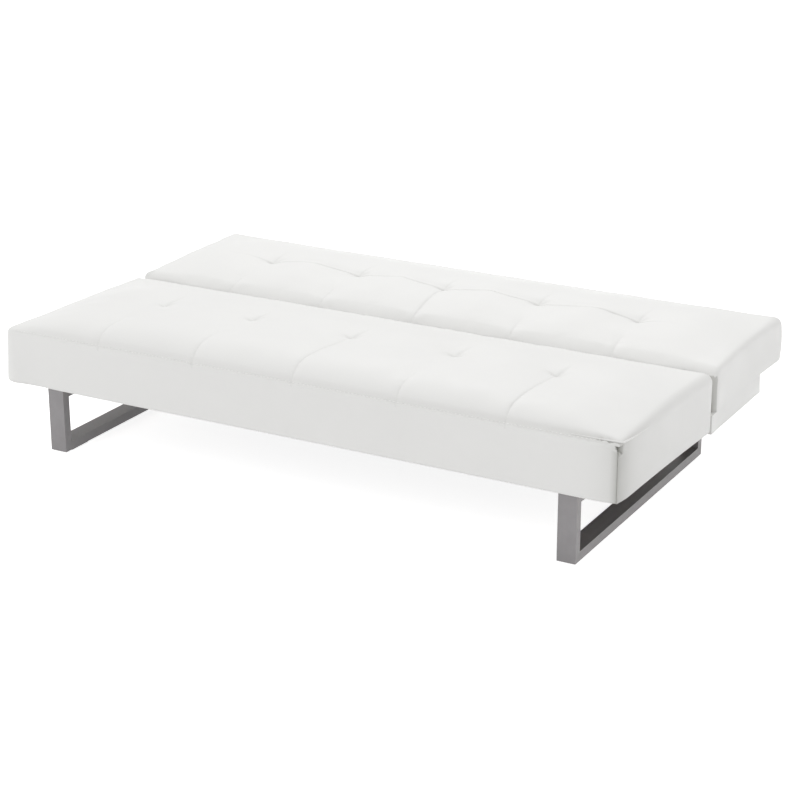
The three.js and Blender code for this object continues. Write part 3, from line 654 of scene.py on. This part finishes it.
def cut_boxes(piece, boxes):
    """Cuts boxes out of a closed piece."""
    for box in boxes:
        cutter = mesh_object("cutter", *box_mesh(*box), "leatherette")
        modifier = piece.modifiers.new("cut", "BOOLEAN")
        modifier.operation = "DIFFERENCE"
        modifier.solver = "MANIFOLD"
        modifier.object = cutter
        bpy.context.view_layer.update()
        cut = bpy.data.meshes.new_from_object(piece.evaluated_get(bpy.context.evaluated_depsgraph_get()))
        piece.modifiers.clear()
        old, piece.data = piece.data, cut
        bpy.data.meshes.remove(old)
        bpy.data.objects.remove(cutter)
    if len(piece.data.polygons) < 1000:
        raise RuntimeError("cutting " + piece.name + " left nothing of it")
    piece.data.shade_smooth()
    piece.data.set_sharp_from_angle(angle=SHARP_EDGE)


def lay_painted_shade(piece, painted_shade):
    """Stores painted shade as a point attribute on a leatherette piece: how far each point is darkened in its
    seams, folds and corners.
    """
    places = np.empty(len(piece.data.vertices) * 3)
    piece.data.vertices.foreach_get("co", places)
    marks = piece.data.attributes.new("painted_shade", "FLOAT", "POINT")
    marks.data.foreach_set("value", np.clip(painted_shade(*places.reshape(-1, 3).T), 0, 1).astype(np.float32))


def seam_places(panel_count):
    """Where the cross seams lie along the bed."""
    return [-HALF_LENGTH + (i + 1) * 2 * HALF_LENGTH / panel_count for i in range(panel_count - 1)]


def hinge_slots(edge_low, edge_high):
    """Slots in a gap wall for the hinge arms at each end, which dip before they reach the wall."""
    clearance, below = 0.003, 0.1
    arm_low, arm_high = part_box("right_hinge_back_arm")
    inner, outer = arm_low[0] - clearance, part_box("right_hinge_seat_arm")[1][0] + clearance
    top = arm_high[2] - clearance
    return [(*sorted((side * inner, side * outer)), edge_low, edge_high, below, top) for side in (-1, 1)]


def tufted_top(shape, quilting):
    """The height of a cushion's top, with its crown, pillows, hollows and soft channels."""
    seams = seam_places(quilting.panel_count)
    tufts = np.array(shape["tufts"])
    panel = 2 * HALF_LENGTH / quilting.panel_count

    def top(x, y):
        along = share_between(y, shape["front"], shape["rear"])
        across = 2 * along - 1
        rise = np.where(across < 0, shape["front_rise"](np.abs(across)), shape["rear_rise"](np.abs(across)))
        dome = shape["crown"] * (1 - np.minimum(1, np.abs(x / HALF_LENGTH)) ** 6) * rise
        pillow = quilting.pillow * np.sin(math.pi * (x + HALF_LENGTH) / panel) ** 2 * rise
        from_tuft = np.min(np.abs(x[..., None] - tufts), axis=-1)
        distance = np.hypot(from_tuft, y - shape["tuft_y"])
        tuft = quilting.tuft_depth * hollow(distance, quilting.tuft_radius)
        tuft += quilting.pinch_depth * hollow(distance, quilting.pinch_radius)
        channel = np.zeros(np.broadcast(x, y).shape)
        for seam, end in zip(seams, shape["seam_ends"]):
            sewn = share_between(y, end, shape["front"])
            soft = quilting.channel_depth * hollow(x - seam, quilting.channel_width)
            channel = np.maximum(channel, soft * sewn**0.6)
        edges = shape["front_height"] * (1 - along) + shape["rear_height"] * along
        return edges + dome + pillow - tuft - channel

    return top


def held_at_seams(points, weight, shape, quilting, top_level):
    """The weights, with the seams and the tufts on the top held as well."""
    x, y, z = points.T
    sewn = np.zeros(x.shape, bool)
    for seam, end in zip(seam_places(quilting.panel_count), shape["seam_ends"]):
        sewn |= (np.abs(x - seam) < 0.009) & (y < end)
    weight = np.where((z > top_level) & sewn, 0.9, weight)
    near_tuft = np.min(np.abs(x[:, None] - np.array(shape["tufts"])), axis=1)
    return np.where((z > top_level) & (np.hypot(near_tuft, y - shape["tuft_y"]) < 0.02), 1.0, weight)


def tuft_strokes(tufts, tuft_y, depth, width, seed, root_y, behind):
    """At each tuft a check-mark crease: a short arm to the left, and a fold running back and right."""
    random = np.random.default_rng(seed)
    strokes = []
    for tuft in tufts:
        left = random.uniform(0.028, 0.042)
        back = random.uniform(0.08, 0.11)
        lean = random.uniform(0.004, 0.014)
        root = (tuft, root_y)
        strokes.append(((tuft - left, tuft_y + 0.002), root, 0.0, depth, width))
        for side, along, depth_share, width_share in (
            (lean, back, behind, 1.2),
            (left * 0.7, -0.006, 0.8, 1.0),
            (left * 0.9, 0.03, 0.4, 1.6),
            (-left * 1.3, -0.012, 0.25, 2.0),
        ):
            end = (tuft + side, tuft_y + along)
            strokes.append((root, end, depth * depth_share, 0.0, width * width_share))
    return strokes


def puckers(x, y, seams, y_start, y_end, seed):
    """Small gathers that cross each seam, strongest at its sewn end."""
    total = np.zeros(np.broadcast(x, y).shape)
    share = share_between(y, y_start, y_end)
    strength = np.where((y - y_start) * (y_end - y_start) > 0, (1 - share) ** 2, 1.0)
    for i, seam in enumerate(seams):
        total += 0.0007 * waves(0 * x, y, seed + i, 0.017) * hollow(x - seam, 0.012) * strength
    return total


class SOFABED_OT_seat_cover(bpy.types.Operator):
    """Make the seat's tufted cover with its skirt"""

    bl_idname = "sofabed.seat_cover"
    bl_label = "Seat Cover"

    def execute(self, context):
        quilting = context.scene.sofa_bed_quilting
        front, rear = float(SEAT_LOW[1]), float(SEAT_HIGH[1])
        edge = quilting.front_edge_height
        tuft_y = front + quilting.seat_tuft_line
        seams = seam_places(quilting.panel_count)
        tufts = [seam + drift for seam, drift in zip(seams, quilting.seat_tuft_drift)]
        middle = len(seams) // 2
        reaches = [1.0 if i in (middle, len(seams) - 1) else 0.5 for i in range(len(seams))]
        shape = {
            "front": front, "rear": rear, "tuft_y": tuft_y, "tufts": tufts,
            "seam_ends": [front + (tuft_y - front) * reach for reach in reaches],
            "front_height": edge, "rear_height": quilting.gap_edge_height, "crown": quilting.seat_crown,
            "front_rise": lambda share: 1 - share**12,
            "rear_rise": lambda share: (1 - share**2) ** 2,
        }

        def hem(y):
            share = share_between(y, front, rear)
            return quilting.skirt_front + (quilting.skirt_rear - quilting.skirt_front) * share

        def boxy(x, y):
            return 0.35 + 0.65 * np.minimum(1, 1.6 * share_between(y, front, rear))

        def squareness(x, y):
            return np.where(y > 0, 0.4, np.where(x < 0, 0.7, 0.35))

        def hem_radius(x, y):
            return 0.003 + 0.010 * hollow(x + HALF_LENGTH, 0.12) * (y < 0)

        def wall_detail(points, angle, rolls, shares):
            """The right front corner's rolled in, gaping seam, and the flare of the left one."""
            x, y, z = np.moveaxis(points, -1, 0)
            turn = angle + math.pi / 2
            at_right = (x > 0) * (y < 0)
            under_roll = rolls > 1.1
            reach = np.hypot(HALF_LENGTH - x, y - front)
            rolled_in = 0.0065 * hollow(reach, 0.036) * np.minimum(1, shares * 12) * at_right
            seam = 0.013 * hollow(turn - math.pi / 4, 0.16) * under_roll * at_right
            below = edge - 0.002 - z
            width = 0.0015 + 0.0150 * np.clip(1 - below / 0.030, 0, 1)
            gape = 0.016 * np.sqrt(np.clip(1 - (reach / width) ** 2, 0, 1)) * under_roll * (below > 0) * at_right
            brow = 0.0028 * hollow(reach, 0.026) * hollow(rolls - 1.15, 0.35) * (shares == 0) * at_right
            flare = (0.006 + 0.006 * shares) * hollow(x + HALF_LENGTH, 0.06) * hollow(y - front, 0.10)
            ditch = 0.0016 * hollow(rolls - 1.23, 0.10) * hollow(turn, 0.3) * (shares == 0)
            return rolled_in + np.maximum(seam, gape) + ditch - brow - flare * np.sin(rolls)

        cushion = Cushion(
            front, rear, (0.012, 0.034, 0.026), tufted_top(shape, quilting), hem, boxy, squareness, hem_radius,
            quilting.draw_in, wall_detail,
        )
        top_level = 0.32

        def held(points):
            _, y, z = points.T
            weight = np.where(z < edge - 0.006, 0.85, 0.0)
            weight = np.where(z < quilting.skirt_front + 0.02, 1.0, weight)
            weight = held_at_seams(points, weight, shape, quilting, top_level)
            return np.where((y < front + 0.012) & (z > top_level), 1.0, weight)

        crease, half_width = quilting.crease_depth, quilting.crease_width
        strokes = tuft_strokes(tufts, tuft_y, 0.0050, 0.0046, 11, tuft_y - 0.004, 0.7)
        for seam, tuft, reach in zip(seams, tufts, reaches):
            end = (seam + (tuft - seam) * reach, front + (tuft_y - front) * reach)
            end_depth = 0.4 * crease if reach == 1 else 0.0
            strokes.append(((seam, front - 0.02), end, crease, end_depth, half_width))
        second = ((seams[middle] + 0.014, front + 0.02), (tufts[middle] + 0.006, tuft_y - 0.05))
        strokes.append((*second, 0.0, 0.0016, 0.003))
        gathers_at_corner = (
            # From the right end, back from the front edge, depth, half length, half width
            (0.017, 0.004, -0.0042, 0.006, 0.005),
            (0.040, 0.004, -0.0030, 0.006, 0.005),
            (0.031, 0.012, 0.0060, 0.008, 0.007),
            (0.054, 0.011, 0.0045, 0.008, 0.006),
            (0.012, 0.012, 0.0026, 0.010, 0.004),
        )

        def detail(x, y):
            total = strokes_depth(x, y, strokes) + puckers(x, y, seams, front, tuft_y, 31)
            total = total + 0.0006 * waves(x, y, 5, 0.11)
            total = total + 0.0008 * hollow(y - front, 0.014) * waves(x, 0 * y, 41, 0.020)
            total = total + (0.0024 + 0.0010 * x / HALF_LENGTH) * hollow(y - front - 0.008, 0.007)
            for from_end, back, depth, half_x, half_y in gathers_at_corner:
                across = hollow(x - HALF_LENGTH + from_end, half_x)
                total = total + depth * across * hollow(y - front - back, half_y)
            return total

        def painted_shade(x, y, z):
            """Painted shade: darkest in the corner's gaping fold, where it also stands for the brown backing,
            and at the knot, fainter round the front seam, creases and tufts.
            """
            from_end, back = HALF_LENGTH - x, y - front
            above = z - edge - 0.004
            share = (x + HALF_LENGTH) / (2 * HALF_LENGTH)
            wall = z < edge - 0.004
            near_corner = np.hypot(from_end, back) < 0.03
            # Inside the right front corner's gaping seam: the brown backing that shows there, and painted shade
            # in the gape.
            fold = np.clip((np.minimum(from_end, back) - 0.004) / 0.004, 0, 1) * near_corner * wall
            # Painted shade on the front and side faces beside the right front corner, fading away from the seam.
            on_front = 0.31 * np.exp(-from_end / 0.036)
            on_side = 0.38 * np.exp(-back / 0.045) + 0.20 * np.exp(-back / 0.22)
            corner_shade = np.where(back < from_end, on_front, on_side) * np.clip(-above / 0.010, 0, 1) * (x > 0)
            # Painted shade in the valley along the front seam, deeper towards the right end.
            sewn = (0.05 + 0.09 * share**2 + 0.22 * np.exp(-from_end / 0.08)) * hollow(above, 0.010)
            sewn = sewn * hollow(np.maximum(0, back - 0.006), 0.016)
            # Painted shade in the folds of the gathered knot at the corner's top.
            knot_shade = 0.50 * hollow(from_end - 0.031, 0.009) + 0.40 * hollow(from_end - 0.054, 0.008)
            knot_shade = knot_shade * hollow(back - 0.010, 0.008) * ~wall
            # Painted shade in the seat's creases and tufts, by their depth.
            crease_shade = 36 * strokes_depth(x, y, strokes) * (z > 0.325)
            return np.maximum.reduce([fold, corner_shade, sewn, knot_shade, np.minimum(crease_shade, 0.12)])

        cover = padded_form("seat_cover_leatherette", cushion, seams, tuft_y, held, detail, quilting.puff)
        inside = HALF_LENGTH - quilting.wall
        inner_front, inner_rear = front + quilting.wall, rear - quilting.gap_wall
        low, beyond = quilting.skirt_rear - 0.05, rear + 0.05
        cavity = (-inside, inside, inner_front, inner_rear, low, PADDING_UNDERSIDE)
        base_way = (-inside, inside, inner_front, beyond, low - 0.01, FRAME_UNDERSIDE)
        cut_boxes(cover, [cavity, base_way, *hinge_slots(inner_rear - 0.004, beyond)])
        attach(cover, "seat")
        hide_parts("seat_cover")
        lay_painted_shade(cover, painted_shade)
        skin = skin_of(cover)
        self.stitch(skin, front, quilting)
        self.welt(skin, front)
        return {"FINISHED"}

    def stitch(self, skin, front, quilting):
        """Sews a row of topstitches just below the front seam, each lying on the leatherette."""
        thickness, sides = 0.0011, 6
        outline = ((-1, 0.1), (-0.75, 0.75), (0, 1), (0.75, 0.75), (1, 0.1))
        points, faces = [], []
        reach = HALF_LENGTH - 0.03
        count = int(2 * reach / quilting.stitch_step)
        height = quilting.front_edge_height - quilting.stitch_drop
        for i in range(count):
            x = -reach + (i + 0.5) * 2 * reach / count
            found, normal, _, _ = skin.ray_cast(Vector((x, front - 0.1, height)), Vector((0, 1, 0)))
            if found is None:
                continue
            centre = np.array(found) + np.array(normal) * 0.0005
            faces += tube_faces(len(points), len(outline), sides)
            for share, size in outline:
                sunk = np.array(normal) * -0.0007 * abs(share) ** 3
                along = np.array((share * quilting.stitch / 2, 0, 0.0003 * share))
                for side in range(sides):
                    turn = 2 * math.pi * side / sides
                    ring = np.array((0, math.cos(turn), math.sin(turn))) * thickness * size
                    points.append(centre + sunk + ring + along)
        thread = mesh_object("seat_front_topstitch", points, faces, "thread")
        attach(thread, "seat")

    def welt(self, skin, front):
        """Lays a thin welt along the right end's top edge, which sinks into the leatherette further back."""
        sides, most_rings, fewest_rings = 10, 60, 40
        path = []
        for share in np.linspace(0, 1, most_rings):
            y = front + 0.0035 + 0.185 * share
            z = 0.3410 - 0.0058 * share - 0.0125 * share**0.6 + 0.0016 * math.exp(-((share / 0.06) ** 2))
            found, normal, _, _ = skin.ray_cast(Vector((HALF_LENGTH + 0.1, y, z)), Vector((-1, 0, 0)))
            if found is None:
                continue
            radius = 0.0026 - 0.0014 * share
            path.append((np.array(found) + np.array(normal) * radius * (0.55 - 1.5 * share**1.5), radius))
        rings = len(path)
        if rings < fewest_rings:
            raise RuntimeError("the welt found too little leatherette to lie on")
        points = []
        for i, (centre, radius) in enumerate(path):
            ahead = path[min(i + 1, rings - 1)][0] - path[max(i - 1, 0)][0]
            ahead /= np.linalg.norm(ahead)
            side = np.cross(ahead, (0, 0, 1))
            side /= np.linalg.norm(side)
            up = np.cross(side, ahead)
            size = radius * math.sqrt(min(1, (i + 0.3) / 3))
            for turn in np.linspace(0, 2 * math.pi, sides, endpoint=False):
                points.append(centre + size * (math.cos(turn) * side + math.sin(turn) * up))
        piece = mesh_object("seat_right_welt", points, tube_faces(0, rings, sides), "leatherette")
        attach(piece, "seat")


class SOFABED_OT_back_cover(bpy.types.Operator):
    """Make the back's tufted cover"""

    bl_idname = "sofabed.back_cover"
    bl_label = "Back Cover"

    def execute(self, context):
        quilting = context.scene.sofa_bed_quilting
        front, rear = float(BACK_LOW[1]), float(BACK_HIGH[1])
        tuft_y = front + quilting.back_tuft_line
        seams = seam_places(quilting.panel_count)
        tufts = [seam + drift for seam, drift in zip(seams, quilting.back_tuft_drift)]
        reaches = [1.0 if i == len(seams) // 2 else 0.42 for i in range(len(seams))]
        shape = {
            "front": front, "rear": rear, "tuft_y": tuft_y, "tufts": tufts,
            "seam_ends": [front + (tuft_y - front) * reach for reach in reaches],
            "front_height": quilting.gap_edge_height, "rear_height": quilting.head_edge_height,
            "crown": quilting.back_crown,
            "front_rise": lambda share: (1 - share**3) ** 2,
            "rear_rise": lambda share: (1 - share**2) ** 2,
        }

        def hem(y):
            return FRAME_UNDERSIDE + 0 * np.asarray(y)

        def boxy(x, y):
            return np.where(x < 0, 0.45, 0.42 + 0.45 * np.clip((y - rear + 0.12) / 0.10, 0, 1))

        def squareness(x, y):
            at_gap = np.where(x < 0, 0.2, 0.4)
            return np.where(y < (front + rear) / 2, at_gap, np.where(x < 0, 0.8, 0.25))

        def hem_radius(x, y):
            return 0.0005 + 0 * x

        def wall_detail(points, angle, rolls, shares):
            """The left end's ripples, the slit beside the seat and the belly of the right end."""
            x, y, _ = np.moveaxis(points, -1, 0)
            at_left = np.clip(-np.cos(angle), 0, 1) * np.sin(rolls) * (1 - shares)
            height = 0.25 * rolls / (math.pi / 2) + 0.75 * shares
            slit = 0.003 * hollow(angle + math.pi / 4, 0.5) * np.sin(math.pi * height) ** 2
            belly = 0.006 * np.clip(np.cos(angle), 0, 1) * hollow(y - rear, 0.18)
            belly = belly * np.sin(0.8 * math.pi * height)
            return 0.0022 * at_left * waves(y, 0 * angle, 63, 0.09) + (slit - belly) * (x > 0)

        cushion = Cushion(
            front, rear, (0.034, 0.032, 0.034), tufted_top(shape, quilting), hem, boxy, squareness, hem_radius,
            quilting.draw_in, wall_detail,
        )

        def held(points):
            _, y, z = points.T
            weight = np.where(z < FRAME_UNDERSIDE + 0.075, 0.85, 0.0)
            weight = np.where(z < FRAME_UNDERSIDE + 0.03, 1.0, weight)
            weight = held_at_seams(points, weight, shape, quilting, 0.325)
            return np.where(y < front + 0.006, 1.0, weight)

        crease, half_width = quilting.crease_depth, quilting.crease_width
        strokes = tuft_strokes(tufts, tuft_y, 0.0054, 0.0034, 23, tuft_y, 0.3)
        for seam, tuft, reach in zip(seams, tufts, reaches):
            end = (seam + (tuft - seam) * reach, front + (tuft_y - front) * reach)
            end_depth = 0.5 * crease if reach == 1 else 0.0
            strokes.append(((seam, front), end, 0.8 * crease, end_depth, half_width))
        line = [-HALF_LENGTH + 0.15, *tufts, HALF_LENGTH - 0.18]
        for start, end in zip(line, line[1:]):
            depths = [0.0 if place in (line[0], line[-1]) else crease for place in (start, end)]
            bend = ((start + end) / 2, tuft_y + 0.006)
            between = (sum(depths) / 2 + min(depths)) / 2
            strokes.append(((start, tuft_y), bend, depths[0], between, half_width))
            strokes.append((bend, (end, tuft_y), between, depths[1], half_width))

        def detail(x, y):
            gathers = puckers(x, y, seams, front, tuft_y, 57)
            return strokes_depth(x, y, strokes) + gathers + 0.0006 * waves(x, y, 9, 0.12)

        def painted_shade(x, y, z):
            """Painted shade, faint in the creases and the tufts, and in the slit beside the seat."""
            # Painted shade in the back's creases and tufts, by their depth.
            crease_shade = 60 * strokes_depth(x, y, strokes) * (z > 0.325)
            # Painted shade in the slit beside the seat, near the right end.
            slit = 0.4 * (y < front + 0.010) * (HALF_LENGTH - x < 0.02) * (z < 0.31)
            return np.maximum(np.minimum(crease_shade, 0.30), slit)

        cover = padded_form("back_cover_leatherette", cushion, seams, tuft_y, held, detail, quilting.puff)
        inside = HALF_LENGTH - quilting.gap_wall
        inner_front, low = front + quilting.gap_wall, FRAME_UNDERSIDE - 0.05
        cavity = (-inside, inside, inner_front, rear - quilting.wall, low, PADDING_UNDERSIDE)
        cut_boxes(cover, [cavity, *hinge_slots(front - 0.05, inner_front + 0.004)])
        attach(cover, "back")
        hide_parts("back_cover")
        lay_painted_shade(cover, painted_shade)
        return {"FINISHED"}


class SOFABED_OT_base_cover(bpy.types.Operator):
    """Make the leatherette round the base under the back"""

    bl_idname = "sofabed.base_cover"
    bl_label = "Base Cover"

    def execute(self, context):
        quilting = context.scene.sofa_bed_quilting
        left_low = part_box("base_left_apron")[0]
        rear_low, rear_high = (np.array(corner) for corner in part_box("base_rear_apron"))
        back_low, back_high = float(BACK_LOW[1]), float(BACK_HIGH[1])
        thickness = float(rear_high[1] - rear_low[1])
        radius, rounding = 0.009, 0.0004
        start_y, rear_y = float(left_low[1]) - 0.0035, float(rear_high[1])
        top, rear_bottom = FRAME_UNDERSIDE - 0.0003, float(rear_low[2])
        rise = (float(left_low[2]) - rear_bottom) / (rear_low[1] - left_low[1])
        outline = [(-HALF_LENGTH, y, -1.0, 0.0) for y in np.linspace(start_y, rear_y - radius, 40)]
        for turn in np.linspace(0, math.pi / 2, 9)[1:]:
            x = -HALF_LENGTH + radius - radius * math.cos(turn)
            outline.append((x, rear_y - radius + radius * math.sin(turn), -math.cos(turn), math.sin(turn)))
        mirrored = [(-x, y, -nx, ny) for x, y, nx, ny in reversed(outline)]
        for x in np.linspace(-HALF_LENGTH + radius, HALF_LENGTH - radius, 130)[1:-1]:
            outline.append((x, rear_y, 0.0, 1.0))
        outline += mirrored
        section = []
        for far, up, first in ((0, 1, 0), (1, 1, 1), (1, 0, 2), (0, 0, 3)):
            for step in range(4):
                turn = math.pi / 2 * (first + step / 3)
                section.append((far, up, -math.cos(turn), math.sin(turn)))
        points = []
        for x, y, nx, ny in outline:
            share = share_between(y, back_low, back_high)
            drawn = 0.5 * quilting.draw_in * 4 * share * (1 - share) * abs(nx)
            bottom = rear_bottom + rise * (rear_low[1] - y) if y < rear_low[1] else rear_bottom
            height = top - bottom
            for far, up, cs, ct in section:
                inset = rounding + far * (thickness - 2 * rounding) + cs * rounding
                level = rounding + up * (height - 2 * rounding) + ct * rounding
                if far == 0:
                    wave = 0.0006 * float(waves(np.array(x + y), np.array(level), 3, 0.16))
                    inset += 0.0002 + wave + drawn * level / height
                points.append((x - nx * inset, y - ny * inset, bottom + level))
        size, faces = len(section), []
        for i in range(len(outline) - 1):
            for j in range(size):
                a, b = i * size + j, i * size + (j + 1) % size
                faces.append((a, a + size, b + size, b))
        faces.append(tuple(range(size)))
        faces.append(tuple(reversed(range(len(points) - size, len(points)))))
        cover = mesh_object("base_cover_leatherette", points, faces, "leatherette")
        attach(cover, "base")
        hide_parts("base_left_apron", "base_right_apron", "base_rear_apron")
        return {"FINISHED"}


class SOFABED_OT_legs(bpy.types.Operator):
    """Finish the two sled legs, their glides and their bolts"""

    bl_idname = "sofabed.legs"
    bl_label = "Legs"

    def execute(self, context):
        refinish([name for name in nodes if "leg_loop" in name], 0.0012)
        refinish([name for name in nodes if "_glide" in name or "_bolt" in name], 0.0004)
        return {"FINISHED"}


class SOFABED_OT_inner_works(bpy.types.Operator):
    """Finish the timber, decks, foam and dust cloths inside"""

    bl_idname = "sofabed.inner_works"
    bl_label = "Inner Works"

    def execute(self, context):
        refinish([name for name in nodes if any(word in name for word in ("rail", "bearer", "deck"))], 0.001)
        refinish(["seat_foam", "back_foam", "back_lining", "base_dust_cover"])
        return {"FINISHED"}


class SOFABED_OT_hinges(bpy.types.Operator):
    """Finish the ratchet hinges at both ends"""

    bl_idname = "sofabed.hinges"
    bl_label = "Hinges"

    def execute(self, context):
        refinish([name for name in nodes if "_hinge_" in name and "rail" not in name], 0.0004)
        return {"FINISHED"}


def any_ray(tree, *kinds):
    """1 for a ray of any of these kinds, else 0."""
    path = add_node(tree, "LightPath").outputs
    seen = path[kinds[0]]
    for kind in kinds[1:]:
        seen = add_node(tree, "Math", {0: seen, 1: path[kind]}, operation="MAXIMUM").outputs[0]
    return seen


class SOFABED_OT_studio(bpy.types.Operator):
    """Set up the floor, the lights and the camera"""

    bl_idname = "sofabed.studio"
    bl_label = "Studio"

    def execute(self, context):
        studio = context.scene.sofa_bed_studio
        self.floor()
        self.world(studio.sky_low, studio.sky_high)
        self.lamp("key_light", (-0.6, 2.4, 3.0), (0, 0.1, 0.3), 3.2, studio.key_power)
        self.lamp("fill_light", (-1.8, -5.0, 0.9), (0, 0, 0.25), 1.6, studio.fill_power)
        lens = bpy.data.cameras.new("camera")
        lens.lens = studio.focal_length
        lens.sensor_width = 36
        lens.clip_end = 50
        camera = bpy.data.objects.new("camera", lens)
        camera.location = studio.camera_place
        camera.rotation_euler = (studio.camera_tilt, 0, studio.camera_turn)
        context.collection.objects.link(camera)
        context.scene.camera = camera
        context.scene.view_settings.view_transform = "Standard"
        return {"FINISHED"}

    def floor(self):
        """A white floor that keeps the bed's soft shadow."""
        size, white, glow = 12.0, 0.9, 0.84
        material = bpy.data.materials.new("studio_floor")
        material.use_nodes = True
        tree = material.node_tree
        shader = tree.nodes["Principled BSDF"]
        for name, value in (
            ("Base Color", (white, white, white, 1)), ("Roughness", 0.9), ("Specular IOR Level", 0.0)
        ):
            shader.inputs[name].default_value = value
        seen = any_ray(tree, "Is Camera Ray", "Is Glossy Ray", "Is Transmission Ray")
        dark, lit = (add_node(tree, "Emission", {"Strength": level}).outputs[0] for level in (0.0, glow))
        share = add_node(tree, "MixShader", {0: seen, 1: dark, 2: lit})
        both = add_node(tree, "AddShader", {0: shader.outputs[0], 1: share.outputs[0]})
        tree.links.new(both.outputs[0], tree.nodes["Material Output"].inputs["Surface"])
        mesh = bpy.data.meshes.new("studio_floor")
        corners = [(-size, -size, 0), (size, -size, 0), (size, size, 0), (-size, size, 0)]
        mesh.from_pydata(corners, [], [(0, 1, 2, 3)])
        mesh.materials.append(material)
        floor = bpy.data.objects.new("studio_floor", mesh)
        bpy.context.collection.objects.link(floor)

    def world(self, low, high):
        """Soft light from all round, brighter above and on the left, and seen as white."""
        bright_side = Vector((-0.38, 0.0, 0.925)).normalized()
        world = bpy.data.worlds.new("studio_world")
        world.use_nodes = True
        bpy.context.scene.world = world
        tree = world.node_tree
        background = tree.nodes["Background"]
        background.inputs["Color"].default_value = (1, 1, 1, 1)
        way = add_node(tree, "TexCoord").outputs["Generated"]
        facing = add_node(tree, "VectorMath", {0: way, 1: bright_side}, operation="DOT_PRODUCT")
        lit = {"Value": facing.outputs["Value"], "From Min": -1.0, "To Min": low, "To Max": high}
        sky = add_node(tree, "MapRange", lit).outputs["Result"]
        seen = any_ray(tree, "Is Camera Ray", "Is Transmission Ray")
        level = add_node(tree, "MapRange", {"Value": seen, "To Min": sky, "To Max": 1.0})
        tree.links.new(level.outputs["Result"], background.inputs["Strength"])

    def lamp(self, name, place, aim, size, power):
        """A soft square lamp that faces a point."""
        light = bpy.data.lights.new(name, "AREA")
        light.shape = "SQUARE"
        light.size = size
        light.energy = power
        lamp = bpy.data.objects.new(name, light)
        lamp.location = place
        lamp.rotation_euler = (Vector(aim) - Vector(place)).to_track_quat("-Z", "Y").to_euler()
        bpy.context.collection.objects.link(lamp)


STEPS = (
    SOFABED_OT_seat_cover,
    SOFABED_OT_back_cover,
    SOFABED_OT_base_cover,
    SOFABED_OT_legs,
    SOFABED_OT_inner_works,
    SOFABED_OT_hinges,
    SOFABED_OT_studio,
)

GROUPS = {
    "sofa_bed_quilting": SofaBedQuilting,
    "sofa_bed_finish": SofaBedFinish,
    "sofa_bed_studio": SofaBedStudio,
}


class SOFABED_PT_panel(bpy.types.Panel):
    """The bed's pieces and settings"""

    bl_label = "Click Clack Sofa Bed"
    bl_idname = "SOFABED_PT_panel"
    bl_space_type = "VIEW_3D"
    bl_region_type = "UI"
    bl_category = "Sofa Bed"

    def draw(self, context):
        for step in STEPS:
            self.layout.operator(step.bl_idname)
        for name in GROUPS:
            group = getattr(context.scene, name)
            box = self.layout.box()
            for key in group.bl_rna.properties.keys():
                if key not in ("rna_type", "name"):
                    box.prop(group, key)


def register():
    for group in GROUPS.values():
        bpy.utils.register_class(group)
    for name, group in GROUPS.items():
        setattr(bpy.types.Scene, name, PointerProperty(type=group))
    for step in (*STEPS, SOFABED_PT_panel):
        bpy.utils.register_class(step)


def unregister():
    for step in reversed((*STEPS, SOFABED_PT_panel)):
        bpy.utils.unregister_class(step)
    for name, group in GROUPS.items():
        delattr(bpy.types.Scene, name)
        bpy.utils.unregister_class(group)


def main():
    register()
    for step in STEPS:
        group, name = step.bl_idname.split(".")
        getattr(getattr(bpy.ops, group), name)()


if __name__ == "__main__":
    main()
